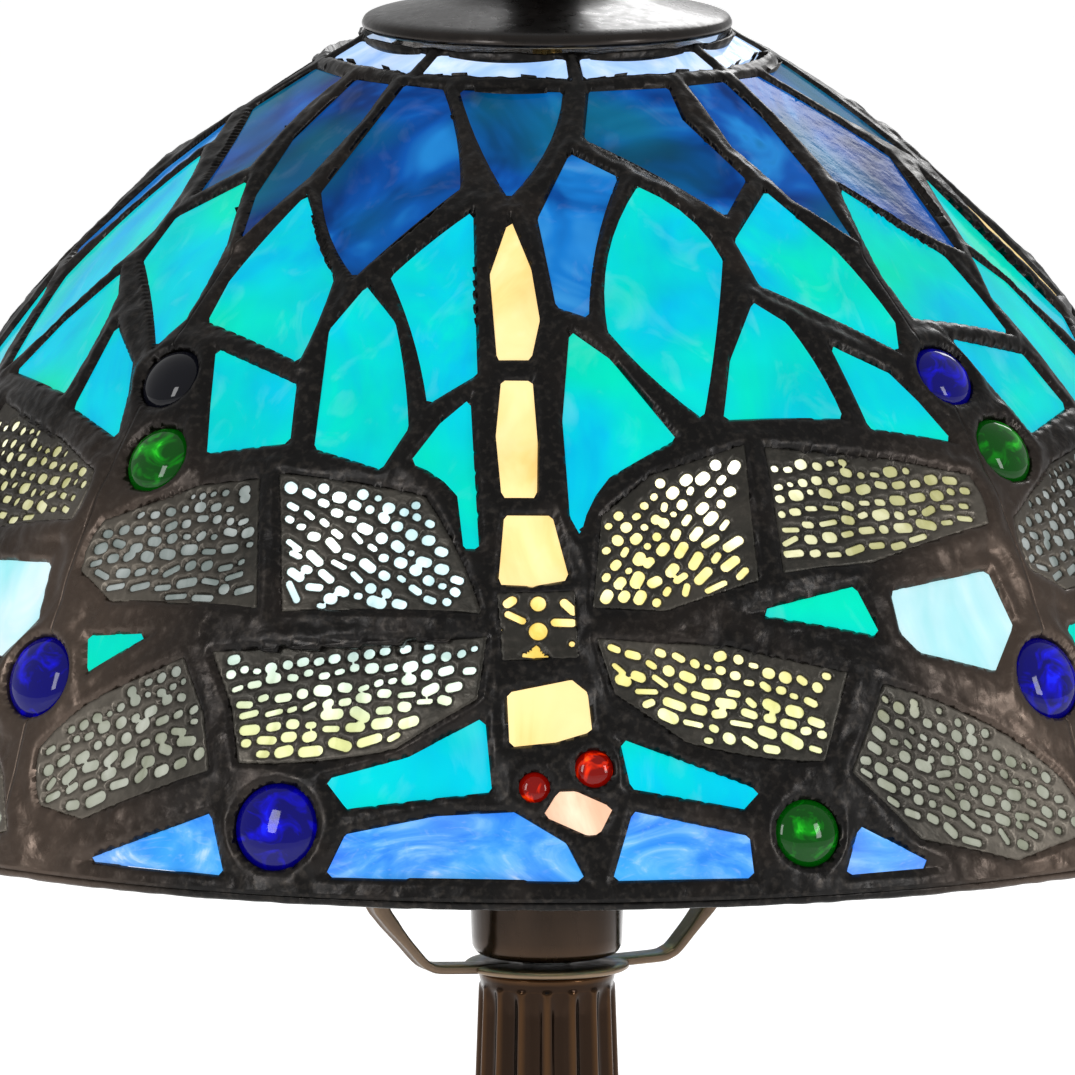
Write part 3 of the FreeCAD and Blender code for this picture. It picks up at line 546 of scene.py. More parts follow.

# %% [markdown]
# ## Jewels
# The round jewels are pressed glass: a flat back, a short girdle held by the solder and a high polished crown. Each
# is a lathe shape about its own axis, so all the jewels of a colour are one grid, placed at the seats read above.
# A float attribute runs from 0 at the crown to 1 at the girdle, and the material uses it for painted shade at the edge.


# %% Domed jewels
def jewel_rings(seat, normal, radius, low, high, steps=36):
    """Rings about a seat: back, girdle, then an ellipse quarter up to the crown; and each ring's crown attribute."""
    t = np.linspace(0, math.pi / 2, 12)
    crown_from = 0.00048
    back_rise = [low, low, low + 0.0006, crown_from]
    rise = np.concatenate([back_rise, crown_from + (high - crown_from) * np.sin(t[1:-1])])
    reach_out = np.concatenate([[radius * 0.5, radius * 0.9, radius, radius], radius * np.cos(t[1:-1])])
    side = np.cross(normal, [0, 0, 1.0])
    side /= np.linalg.norm(side)
    up = np.cross(side, normal)
    a = np.linspace(0, 2 * np.pi, steps, endpoint=False)[None, :, None]
    around = np.cos(a) * side + np.sin(a) * up
    points, faces = ring_grid(seat + rise[:, None, None] * normal + reach_out[:, None, None] * around, False)
    edge = np.concatenate([np.repeat(reach_out / radius, steps), [0.4, 0.0]])
    points[-1] = seat + normal * high
    return points, faces, edge


def set_attribute(obj, name, values):
    """Stores one float for each vertex of a piece."""
    layer = obj.data.attributes.new(name, "FLOAT", "POINT")
    layer.data.foreach_set("value", np.asarray(values, np.float32))


def is_unlit(seat):
    """The one jewel over the left wing of the front dragonfly that the bulb doesn't reach."""
    return float(seat[2] - RIM_Z > 0.085 and seat[0] < -0.06 and seat[1] < 0)


CROWN_RISE, SMALL_JEWEL = 0.0042, 0.006
jewel_pieces = {}
for node_name, title, slot_name in (
    ("blue_jewels", "blue_jewel_domes", "blue_jewel"),
    ("green_jewels", "green_jewel_domes", "green_jewel"),
    ("eye_jewels", "dragonfly_eyes", "red_jewel"),
):
    seats = [seat for seat in jewels if seat[0] == node_name]
    made = [jewel_rings(s, n, r, -JEWEL_BACK, CROWN_RISE * min(1.0, r / SMALL_JEWEL)) for _, s, n, r in seats]
    points, faces = joined([(p, f) for p, f, _ in made])
    piece = make_object(title, points, faces)
    set_attribute(piece, "edge", np.concatenate([e for _, _, e in made]))
    set_attribute(piece, "unlit", np.repeat([is_unlit(seat[1]) for seat in seats], [len(p) for p, _, _ in made]))
    jewel_pieces[node_name] = fit(piece, "shade", slot_name, node_name)
print("jewel faces", {k: len(v.data.polygons) for k, v in jewel_pieces.items()})

# %% [markdown]
# ## Pierced wings
# The veins of the wings are thin metal sheet, pierced with rows of small holes and floated with solder so that every
# edge is soft. Each hole is a bar with round ends, whose distance formula is exact: the distance to a short line,
# less the half width. A flat grid in the plane of each pane is cut by those distances in the same way as the solder,
# with the holes short near the top of a wing and longer towards its lower edge.


# %% Rows of holes
def plane_axes(loop, normal):
    """Axes of a pane's plane: u runs along its longest way across, v is square to it and points up."""
    centre = loop.mean(axis=0)
    longest_way = np.linalg.svd(loop - centre)[2][0]
    u = longest_way - normal * (longest_way @ normal)
    u /= np.linalg.norm(u)
    u = u if u @ np.cross([0, 0, 1.0], normal) > 0 else -u
    v = np.cross(normal, u)
    return centre, u, v


def outline_distance(points, loop):
    """Signed distance of flat points to a closed outline, positive inside, and the nearest outline points."""
    a, b = loop, np.roll(loop, -1, axis=0)
    along = b - a
    gap = points[:, None] - a[None]
    t = np.clip((gap * along).sum(axis=2) / (along**2).sum(axis=1), 0, 1)
    rest = gap - t[..., None] * along
    d2 = (rest**2).sum(axis=2)
    best = d2.argmin(axis=1)
    rows = np.arange(len(points))
    y, y0, y1 = points[:, None, 1], a[None, :, 1], b[None, :, 1]
    crosses = (y0 > y) != (y1 > y)
    where = a[None, :, 0] + (y - y0) * along[None, :, 0] / (y1 - y0 + 1e-15)
    inside = (crosses & (points[:, None, 0] < where)).sum(axis=1) % 2 == 1
    distance = np.sqrt(d2[rows, best])
    return np.where(inside, distance, -distance), points - rest[rows, best]


ROW_PITCH, HOLE_GAP, EDGE_MARGIN = 0.0031, 0.0009, 0.00045


def wing_holes(loop, half_width=0.00108, longest=0.0062):
    """Bars in rows (start, end, half width): row by row from the top, each longer than the last by chance."""
    low, high = loop.min(axis=0), loop.max(axis=0)
    bars = []
    v = high[1] - EDGE_MARGIN - half_width
    while v > low[1]:
        depth = (high[1] - v) / (high[1] - low[1])
        u = low[0] + rng.uniform(0, 0.0015)
        while u < high[0]:
            wide = half_width * rng.uniform(0.52, 1.14)
            length = 2 * wide + max(0.0007, (depth + 0.03) * (longest - 2 * wide)) * rng.uniform(0.1, 1.0)
            tilt = rng.normal(0, 0.22)
            middle = np.array([u + length / 2, v + rng.normal(0, 0.00038)])
            half = (length / 2 - wide) * np.array([math.cos(tilt), math.sin(tilt)])
            ends_in = outline_distance(np.stack([middle - half, middle + half]), loop)[0]
            if ends_in.min() < wide + EDGE_MARGIN:
                u += 0.0005
                continue
            bars.append((*(middle - half), *(middle + half), wide))
            u += length + HOLE_GAP * rng.uniform(0.8, 1.3)
        v -= ROW_PITCH * rng.uniform(0.93, 1.08)
    return np.array(bars)


# %% The pierced sheet
PLATE_BACK, PLATE_EDGE, PLATE_CROWN = 0.00155, 0.00185, 0.00062
PLATE_CELL = 0.00043
UNDER_SOLDER, SOFT_EDGE = 0.0007, 0.0007


def pierced_plate(loop3, normal, holes_for):
    """A soft-edged sheet over one pane: outer and inner skins, quads and triangles."""
    centre, u, v = plane_axes(loop3, normal)
    loop = np.stack([(loop3 - centre) @ u, (loop3 - centre) @ v], axis=1)
    bars = holes_for(loop)
    margin = UNDER_SOLDER + PLATE_CELL
    low, high = loop.min(axis=0) - margin, loop.max(axis=0) + margin
    columns, rows = np.ceil((high - low) / PLATE_CELL).astype(int) + 1
    x, y = np.meshgrid(low[0] + PLATE_CELL * np.arange(columns), low[1] + PLATE_CELL * np.arange(rows))
    flat = np.stack([x.reshape(-1), y.reshape(-1)], axis=1)
    inside, nearest = outline_distance(flat, loop)
    inside = inside + UNDER_SOLDER
    start, along, wide = bars[:, :2], bars[:, 2:4] - bars[:, :2], bars[:, 4]
    gap = flat[:, None] - start[None]
    t = np.clip((gap * along).sum(axis=2) / ((along**2).sum(axis=1) + 1e-12), 0, 1)
    rest = gap - t[..., None] * along
    size = np.linalg.norm(rest, axis=2) + 1e-12
    clear = size - wide
    best = clear.argmin(axis=1)
    pick = np.arange(len(flat))
    hole, away = clear[pick, best], rest[pick, best] / size[pick, best][:, None]
    signed = np.minimum(inside, hole)
    snap = np.abs(signed) < SNAP * PLATE_CELL
    by_hole = snap & (hole <= inside)
    flat[by_hole] -= away[by_hole] * hole[by_hole][:, None]
    by_edge = snap & (hole > inside)
    flat[by_edge] -= (flat[by_edge] - nearest[by_edge]) * 0.2
    soft = np.clip(np.where(snap, 0, signed) / SOFT_EDGE, 0, 1)
    rise = PLATE_EDGE + PLATE_CROWN * np.sqrt(soft * (2 - soft))
    spot = centre + flat[:, :1] * u + flat[:, 1:] * v - GLASS_HALF * normal
    outer, inner = spot + rise[:, None] * normal, spot + PLATE_BACK * normal
    keep = (signed >= 0) | snap
    cells = grid_cells(rows, columns)
    quads, tris = kept_faces(cells, keep)
    kept_middle = np.minimum(signed, 0.001)
    quads = quads[kept_middle[quads].mean(axis=1) > 0]
    tris = tris[kept_middle[tris].mean(axis=1) > 0]
    return outer, inner, quads, tris


def merged_slab(name, plates):
    """Several plates as one closed piece."""
    offset, outer, inner, quads, tris = 0, [], [], [], []
    for plate_outer, plate_inner, plate_quads, plate_tris in plates:
        outer.append(plate_outer), inner.append(plate_inner)
        quads.append(plate_quads + offset), tris.append(plate_tris + offset)
        offset += len(plate_outer)
    return slab(name, *(np.concatenate(b) for b in (outer, inner, quads, tris)))


def in_front_module(centre):
    """Whether a pane belongs to the dragonfly that faces the front."""
    return abs(math.degrees(math.atan2(centre[0], -centre[1]))) < 45 and centre[1] < 0


def thorax_holes(loop):
    """The body plate: two round holes on the midline, four slanted lenses, side dots and a low triangle of bars."""
    low, high = loop.min(axis=0), loop.max(axis=0)
    middle, size = (low + high) / 2, (high - low) / 2
    # Each mark is (across, up, half length across, half length up, half width): shares of the plate, then mm.
    marks = [(-0.06, 0.60, 0, 0, 1.55), (0.02, -0.14, 0, 0, 1.85)]
    marks += [(-0.72, 0.56, 0.05, 0.05, 0.95), (-0.55, 0.16, 0.18, -0.07, 0.72), (-0.86, -0.22, 0, 0, 0.40)]
    marks += [(0.66, 0.60, 0.12, -0.10, 0.90), (0.58, 0.17, 0.20, 0.02, 0.85), (0.84, -0.38, 0, 0, 0.62)]
    marks += [(0.03, -0.54 - 0.05 * row, 0.055 * row, 0, 0.26) for row in range(7)]
    marks = np.array(marks)
    spots, halves = middle + size * marks[:, :2], size * marks[:, 2:4]
    return np.hstack([spots - halves, spots + halves, marks[:, 4:] * MM])


overlay_pieces = []
for glass_name, node_name, holes_for in (
    ("inner_wing_glass", "inner_wing_overlay", wing_holes),
    ("outer_wing_glass", "outer_wing_overlay", wing_holes),
    ("thorax_glass", "thorax_overlay", thorax_holes),
):
    plates = [pierced_plate(l, n, holes_for) for l, c, n in panes[glass_name] if in_front_module(c)]
    for quarter in range(4):
        turn_by = 90 * quarter
        spun = [(turned_about(o, turn_by), turned_about(i, turn_by), q, t) for o, i, q, t in plates]
        piece = merged_slab("%s_%d" % (node_name.replace("overlay", "filigree"), quarter), spun)
        overlay_pieces.append(fit(piece, "shade", "pierced_metal", node_name))
    print(node_name, "plates", len(plates), "faces", len(piece.data.polygons))

# %% [markdown]
# ## Rim wire, cap and finial
# A tinned wire closes the lower edge of the shade, so it shares the solder's lumps. The cap is spun brass, pressed
# over the top opening, and the finial is a turned knob: plain profiles, eased at the corners, carried round the stem.

# %% Rim wire
RIM_R, WIRE_R, WIRE_Z = 0.152, 0.0012, RIM_Z - 0.001
t = np.linspace(0, 2 * np.pi, 14, endpoint=False)
rim_profile = np.stack([RIM_R + WIRE_R * np.cos(t), WIRE_Z + WIRE_R * np.sin(t)], axis=1)
points, faces = lathed(rim_profile, 720)
lump = 0.00012 * waves(points, 0.014)
ring_point = points * [1, 1, 0]
ring_point *= RIM_R / np.linalg.norm(ring_point, axis=1)[:, None]
ring_point[:, 2] = WIRE_Z
points = ring_point + (points - ring_point) * (0.94 + np.clip(lump / WIRE_R, -0.1, 0.06))[:, None]
fit(make_object("rim_bead", points, faces), "shade", "dark_solder", "rim_wire")

# %% Cap and finial
CAP_LINE = [(38.0, 157.2), (37.0, 159.2), (30.0, 160.8), (20.0, 163.0), (12.5, 166.4), (9.0, 171.0)]
HOLE, WALL = 3.4, 1.2
cap_inside = [(max(HOLE, r - WALL), z - WALL) for r, z in CAP_LINE[::-1]]
cap_profile = CAP_LINE + [(HOLE, 171.0), (HOLE, 171.0 - WALL)] + cap_inside
points, faces = lathed(above(eased(cap_profile, 3, 0.2, True)), 128)
fit(make_object("spun_cap", points, faces), "shade", "bronze", "vase_cap")
FINIAL_LOW, BORE = 171.3, 4.65
knob = [(7.6, 0), (8.4, 1.6), (6.6, 3.2), (6.4, 5.0), (9.6, 7.0), (12.8, 9.6), (13.8, 12.6)]
knob += [(12.8, 15.4), (9.0, 17.6), (5.0, 19.2), (3.6, 20.4), (4.2, 21.6), (0.02, 23.7)]
knob = [(BORE, FINIAL_LOW)] + [(r, z + FINIAL_LOW) for r, z in knob] + [(0.02, 181.6), (BORE, 181.6)]
points, faces = lathed(above(eased(knob, 2, 0.2, True)), 80)
fit(make_object("turned_finial", points, faces), "finial", "bronze", "finial")

# %% [markdown]
# ## Harp, saddle and socket
# The harp is one bent wire: straight legs, a reverse bend and a wide bow over the bulb. Its centre line is straight
# runs and circular arcs, so the path is computed from angles and a round section is carried along it. The saddle
# that holds it is a pressed strip with a shallow channel; the section of its arms thickens towards the seats.

# %% The harp's path
HALF, BOW, BOW_X, NECK, TOP, FOOT_END = 37.0, 48.0, 6.0, 60.0, 147.0, -14.0
HARP_TURN = math.radians(20)
bow_z, neck_x = TOP - BOW, HALF + NECK
turn = math.acos((neck_x - BOW_X) / (NECK + BOW))
neck_z = bow_z - (NECK + BOW) * math.sin(turn)
leg = np.stack([np.full(12, HALF), np.linspace(FOOT_END, neck_z, 12, endpoint=False)], axis=1)
a = np.linspace(0, turn, 14, endpoint=False)
neck = np.stack([neck_x - NECK * np.cos(a), neck_z + NECK * np.sin(a)], axis=1)
a = np.linspace(-turn, math.pi / 2, 40)
bow = np.stack([BOW_X + BOW * np.cos(a), bow_z + BOW * np.sin(a)], axis=1)
half_path = np.concatenate([leg, neck, bow])
full_path = np.concatenate([half_path, (half_path * [-1, 1])[::-1]])


def in_harp_plane(x, y, z):
    """Points given across the harp, through it and above the rim, in mm, as metres in the lamp's frame."""
    c, s = math.cos(HARP_TURN), math.sin(HARP_TURN)
    return np.stack([c * x - s * y, s * x + c * y, z + RIM_Z / MM], axis=-1) * MM


harp_side = in_harp_plane(0.0, 1.0, 0.0) / MM - np.array([0, 0, RIM_Z / MM])
wire = tube(in_harp_plane(full_path[:, 0], 0 * full_path[:, 0], full_path[:, 1]), harp_side, 0.0022)
pad_profile = [(2.1, 145.0), (6.4, 145.0), (7.0, 145.7), (7.0, 148.6), (6.4, 149.3), (2.1, 149.3)]
pad = lathed(above(eased(pad_profile, 1, 0.2, True)), 48)
points, faces = joined([wire, pad])
fit(make_object("harp_bow", points, faces), "harp", "harp_bronze", "harp")
print("harp height mm", round(np.ptp(points[:, 2]) / MM, 1))

# %% Saddle with channelled arms
DISC_R, STEM_HOLE, SADDLE_LOW = 16.85, 5.2, -38.0
disc = lathed(above(eased([(STEM_HOLE, -38), (DISC_R, -38), (DISC_R, -36), (STEM_HOLE, -36)], 2, 0.2, True)), 96)
arm_line = eased([(9, -36.9), (16, -36.9), (26.4, -36.4), (33.0, -28.6), (37.2, -23.0), (37.0, -14.1)], 3, 0.15)
share = np.linspace(0, 1, len(arm_line))
thick = 1.0 + 1.9 * np.clip((share - 0.45) / 0.5, 0, 1) ** 1.5
t = np.linspace(0, 2 * np.pi, 40, endpoint=False)
wide = np.sign(np.cos(t)) * np.abs(np.cos(t)) ** 0.42 * 3.4
deep = np.sign(np.sin(t)) * np.abs(np.sin(t)) ** 0.42
along = np.gradient(arm_line, axis=0)
along /= np.linalg.norm(along, axis=1)[:, None]
across = np.stack([along[:, 1], -along[:, 0]], axis=1)
channel = 0.55 * np.clip(1 - (np.abs(wide) / 2.4) ** 4, 0, 1) * (deep > 0.3)
depth = thick[:, None] * deep[None] - channel[None] * np.clip((1 - share[:, None]) * 6, 0, 1)
x = arm_line[:, :1] + across[:, :1] * depth
z = arm_line[:, 1:] + across[:, 1:] * depth
width_rows = np.repeat(wide[None], len(x), axis=0)
arms, pins = [], []
for hand in (1, -1):
    arms.append(ring_grid(in_harp_plane(hand * x, hand * width_rows, z)[:, ::-1], False))
    pin_path = in_harp_plane(np.full(4, hand * HALF), np.zeros(4), np.linspace(-14.4, -6.3, 4))
    pins.append(tube(pin_path, harp_side, 0.0016))
points, faces = joined([disc] + arms + pins)
fit(make_object("saddle", points, faces), "base", "harp_bronze", "harp_saddle")

# %% Sleeves and socket cup
sleeve_line = [(2.3, -13.8), (3.5, -13.8), (3.5, -10.5), (3.2, -10.0)]
sleeve_line += [(3.2, -4.8), (3.5, -4.3), (3.5, -1.8), (2.3, -1.8)]
for hand, name in ((-1, "left"), (1, "right")):
    points, faces = lathed(above(eased(sleeve_line, 1, 0.2, True)), 40)
    points += in_harp_plane(hand * HALF, 0.0, 0.0) - np.array([0, 0, RIM_Z])
    fit(make_object("sleeve_cup_" + name, points, faces), "sleeve_" + name, "harp_bronze", "harp_sleeve_" + name)
CUP_R = 15.65
cup = [(5.2, -35), (12.4, -35), (14.6, -34.2), (CUP_R, -32), (CUP_R, 8.6), (15.5, 9.2)]
cup += [(CUP_R, 9.8), (CUP_R, 12), (14.75, 12), (14.75, -32.6), (13.25, -34.1), (5.2, -34.1)]
points, faces = lathed(above(eased(cup, 2, 0.2, True)), 128)
fit(make_object("socket_shell", points, faces), "base", "socket_bronze", "socket_cup")

# %% [markdown]
# ## Column and foot
# The column is cast with sixteen hollow flutes between sharp ridges. Its radius is one formula of angle and height:
# a slow taper that opens like a trumpet, less a hollow that follows a cosine and fades out at both ends. The foot
# is a spun casting: one eased profile with a closed inside.

# %% Fluted column
COLUMN_TOP, COLUMN_LOW, NECK_R = RIM_Z / MM - 38.2, 62.0, 13.9
FLUTES, FLUTE_DEPTH, STEM_BORE = 16, 1.5, 5.2
length = COLUMN_TOP - COLUMN_LOW
neck_part, foot_part = np.linspace(0, 14, 26, endpoint=False), np.linspace(length - 16, length, 20)
drop = np.concatenate([neck_part, np.linspace(14, length - 16, 60, endpoint=False), foot_part])
radius_at = NECK_R + 0.036 * drop + 9.0 * (drop / 180.0) ** 4
top_fade = np.sin(np.clip((drop - 2.4) / 5.5, 0, 1) * math.pi / 2) ** 0.6
low_fade = np.sin(np.clip((length - drop) / 14, 0, 1) * math.pi / 2)
a = np.linspace(0, 2 * np.pi, FLUTES * 14, endpoint=False)
flute = 1 - np.abs(np.cos(FLUTES * a / 2)) ** 3
hollow = FLUTE_DEPTH * flute[None] * np.minimum(top_fade, low_fade)[:, None]
ring_line = -0.35 * np.exp(-(((drop - 2.0) / 0.5) ** 2))
r = (radius_at + ring_line)[:, None] - hollow
z = np.repeat((COLUMN_TOP - drop)[:, None], len(a), axis=1)
bore = np.full((1, len(a)), STEM_BORE)
r = np.concatenate([bore, r, bore])[::-1] * MM
z = np.concatenate([z[:1], z, z[-1:]])[::-1] * MM
points, faces = ring_grid(np.stack([r * np.sin(a), -r * np.cos(a), z], axis=-1), True)
column = fit(make_object("fluted_column", points, faces), "base", "bronze", "column")
print("column faces", len(column.data.polygons))

# %% Foot
foot_line = [(31.5, 61.9), (33.5, 58.5), (31.5, 55.5), (35, 49), (42, 40.5), (52, 32.5)]
foot_line += [(64, 26), (73, 20), (74.5, 16.5), (79, 14.5), (82.5, 9.5), (82.5, 2)]
inside = [(r - 3.0, max(2.0, z - 3.0)) for r, z in foot_line[3:][::-1]]
foot_profile = np.array(([(STEM_BORE, 61.9)] + foot_line + inside + [(STEM_BORE, 46.0)])[::-1]) * MM
points, faces = lathed(eased(foot_profile, 3, 0.2, True), 160)
fit(make_object("spun_foot", points, faces), "base", "bronze", "foot")

# %% [markdown]
# ## The lamp bulb
# A large round bulb with a frosted inside hangs on the socket's thread. Its outline is a neck that swells into a
# sphere; one profile from axis to axis closes it. It glows, and so lights the inside of the harp and the cap.

# %% Bulb envelope
joint = math.radians(-38)
GLOBE_R, GLOBE_Z = 30.0, 60.0
neck_line = [(12.5, 14.1), (12.6, 20.0), (14.4, 28.0), (18.2, 35.5)]
neck_line += [(GLOBE_R * math.cos(joint), GLOBE_Z + GLOBE_R * math.sin(joint))]
a = np.linspace(joint, math.pi / 2 - 0.06, 30)[1:]
globe = np.stack([GLOBE_R * np.cos(a), GLOBE_Z + GLOBE_R * np.sin(a)], axis=1)
points, faces = lathed(above(np.concatenate([[(7.0, 14.1)], eased(neck_line, 2, 0.2), globe])), 96, False)
fit(make_object("globe_bulb", points, faces), "bulb", "bulb_glass", "bulb_envelope")

# %% [markdown]
# ## Material helpers
# All patterns read Object coordinates, which are the lamp's own metres, so a scale of 100 makes features of about a
# centimetre. Streaks are noise whose space is squeezed along one axis. Glass on a lit lamp is seen by the light that
# comes through it, so its colour feeds both the surface and a soft glow; the gloss on top comes from the studio.


# %% Colours, noise and ramps
def tint(r, g, b):
    """A display colour, 0 to 255 each, as linear light."""
    c = np.array([r, g, b]) / 255.0
    return (*np.where(c <= 0.04045, c / 12.92, ((c + 0.055) / 1.055) ** 2.4).tolist(), 1.0)


def lamp_space(tree, squeeze):
    """Object coordinates, squeezed along their axes."""
    spot = node(tree, "TexCoord").outputs["Object"]
    return node(tree, "Mapping", {"Vector": spot, "Scale": squeeze}).outputs[0]


def noise(tree, scale, detail=3.0, squeeze=(1, 1, 1), swirl=0.0, rough=0.5):
    """A noise pattern from 0 to 1."""
    sockets = {"Vector": lamp_space(tree, squeeze), "Scale": scale, "Detail": detail, "Roughness": rough}
    return node(tree, "TexNoise", {**sockets, "Distortion": swirl}).outputs["Fac"]


def ramp(tree, factor, stops):
    """A colour ramp through stops of (place, colour)."""
    made = node(tree, "ValToRGB", {"Fac": factor})
    line = made.color_ramp.elements
    while len(line) < len(stops):
        line.new(0.5)
    for element, (spot, colour) in zip(line, stops):
        element.position, element.color = spot, colour
    return made.outputs["Color"]


def spread(tree, factor, low, high, to_low=0.0, to_high=1.0):
    """A factor stretched from one range to another, held at its ends."""
    sockets = {"Value": factor, "From Min": low, "From Max": high, "To Min": to_low, "To Max": to_high}
    return node(tree, "MapRange", sockets).outputs["Result"]


def blend(tree, factor, first, second):
    """Two colours mixed by a factor."""
    return node(tree, "Mix", {0: factor, 6: first, 7: second}, data_type="RGBA").outputs[2]


def sums(tree, how, *values):
    """One step of arithmetic, named as the Math node names it."""
    return node(tree, "Math", dict(enumerate(values)), operation=how).outputs[0]


def wire_up(tree, shader, **sockets):
    """Links or sets the shader's inputs, with _ for a space."""
    for key, value in sockets.items():
        socket = shader.inputs[key.replace("_", " ")]
        if isinstance(value, bpy.types.NodeSocket):
            tree.links.new(value, socket)
        else:
            socket.default_value = value


def relief(tree, height, distance, strength=1.0):
    """A bump from a height pattern; distance is the real depth in metres."""
    return node(tree, "Bump", {"Height": height, "Strength": strength, "Distance": distance}).outputs["Normal"]


def quarter_angle(tree):
    """Where a point lies within its quarter of the shade: -1 at the left seam, 0 on the dragonfly, 1 at the right."""
    parts = node(tree, "SeparateXYZ", {"Vector": node(tree, "TexCoord").outputs["Object"]})
    around = sums(tree, "ARCTAN2", parts.outputs["X"], sums(tree, "MULTIPLY", parts.outputs["Y"], -1.0))
    turns = sums(tree, "MULTIPLY_ADD", around, 2 / math.pi, 0.5)
    return sums(tree, "MULTIPLY_ADD", sums(tree, "FRACT", turns), 2.0, -1.0)


def height_above_rim(tree):
    """Height of a point above the rim in metres."""
    parts = node(tree, "SeparateXYZ", {"Vector": node(tree, "TexCoord").outputs["Object"]})
    return sums(tree, "SUBTRACT", parts.outputs["Z"], RIM_Z)


# %% [markdown]
# ## Streaky and clear glass
# Opalescent sheet is stirred from two or three colours while it is hot, so its streaks run one way and end in wisps.
# Every glass shares one recipe: a broad drift of hue, a streak pattern, and a faint relief from the rolling mill. The
# clear wing glass is different: the bulb shows through it, so it glows strongest near the body of the dragonfly and
# has two white spots where the bulb stands right behind it.


# %% Opalescent sheets
def opal_glass(name, stops, scale, squeeze, glow, drift=None, swirl=1.2, gloss=0.1, detail=4.0, wisp=0.05):
    """A lit streaky glass: stops colour the streaks, drift is a second colour that comes and goes slowly."""
    mat, tree, shader = new_material(name)
    streaks = noise(tree, scale, detail, squeeze, swirl, 0.55)
    colour = ramp(tree, streaks, stops)
    if drift:
        slow = spread(tree, noise(tree, 34, 1.0), 0.42, 0.66)
        colour = blend(tree, slow, colour, blend(tree, 0.75, colour, drift))
    wisps = spread(tree, noise(tree, 2.2 * scale, 5.0, squeeze, 2.0 * swirl), 0.56, 0.80, 0.0, wisp)
    colour = blend(tree, wisps, colour, (1, 1, 1, 1))
    thick = spread(tree, noise(tree, 70, 2.0), 0.3, 0.7, 0.86 * glow, 1.08 * glow)
    mill = noise(tree, 240, 3.0, squeeze)
    wire_up(
        tree, shader,
        Base_Color=blend(tree, 0.45, colour, (0, 0, 0, 1)), Emission_Color=colour, Emission_Strength=thick,
        Roughness=gloss, Normal=relief(tree, mill, 0.0002, 0.3), Specular_IOR_Level=0.07, IOR=1.52,
    )
    return mat


FLOW = (1.0, 1.0, 0.34)
glass_mats = {
    "pale_blue_glass": opal_glass(
        "crown_opal", [(0.3, tint(136, 180, 246)), (0.5, tint(176, 208, 252)), (0.7, tint(222, 236, 255))], 60, FLOW, 0.78
    ),
    "deep_blue_glass": opal_glass(
        "cobalt_streaky",
        [(0.28, tint(2, 34, 80)), (0.42, tint(0, 52, 122)), (0.54, tint(4, 84, 172)), (0.64, tint(30, 132, 210)),
         (0.74, tint(6, 90, 120))],
        34, FLOW, 0.58, tint(4, 106, 126), 1.1, 0.1, 3.0, 0.03,
    ),
    "teal_glass": opal_glass(
        "teal_opal",
        [(0.30, tint(0, 166, 214)), (0.46, tint(0, 186, 212)), (0.60, tint(0, 198, 202)), (0.76, tint(0, 216, 194))],
        36, FLOW, 0.78, tint(0, 212, 164), 0.9,
    ),
    "cream_glass": opal_glass(
        "cream_opal", [(0.3, tint(240, 190, 104)), (0.48, tint(250, 214, 140)), (0.7, tint(255, 232, 170))],
        60, FLOW, 0.80, tint(252, 222, 160), 1.0,
    ),
    "border_glass": opal_glass(
        "fibrous_blue",
        [(0.34, tint(40, 104, 222)), (0.5, tint(78, 142, 238)), (0.62, tint(128, 180, 248)), (0.74, tint(228, 238, 255))],
        90, (0.42, 0.42, 1.0), 0.72, tint(60, 170, 236), 2.6, 0.1, 7.0, 0.12,
    ),
}
pale_panel = opal_glass(
    "pale_panel_opal", [(0.3, tint(140, 214, 220)), (0.52, tint(186, 228, 234)), (0.75, tint(232, 240, 244))],
    40, FLOW, 0.72,
)
slip_glass = opal_glass(
    "slip_streaky", [(0.3, tint(4, 70, 146)), (0.48, tint(20, 118, 200)), (0.66, tint(70, 164, 226))],
    40, FLOW, 0.66, None, 1.2, 0.1, 3.0,
)
head_glass = opal_glass(
    "head_peach_opal", [(0.3, tint(232, 178, 146)), (0.55, tint(246, 206, 176)), (0.75, tint(255, 228, 200))],
    70, FLOW, 0.74,
)
print("glass materials", len(glass_mats) + 3)


# %% Clear wing glass
HALF_QUARTER_ARC = 0.09


def bulb_spot(tree, side, height, at_side, at_height, reach):
    """One where the bulb stands behind the glass, less with distance, and zero at the given reach in metres."""
    across = sums(tree, "MULTIPLY", sums(tree, "SUBTRACT", side, at_side), HALF_QUARTER_ARC)
    upward = sums(tree, "SUBTRACT", height, at_height)
    squares = [sums(tree, "MULTIPLY", run, run) for run in (across, upward)]
    return spread(tree, sums(tree, "SQRT", sums(tree, "ADD", *squares)), 0.0, reach, 1.0, 0.0)


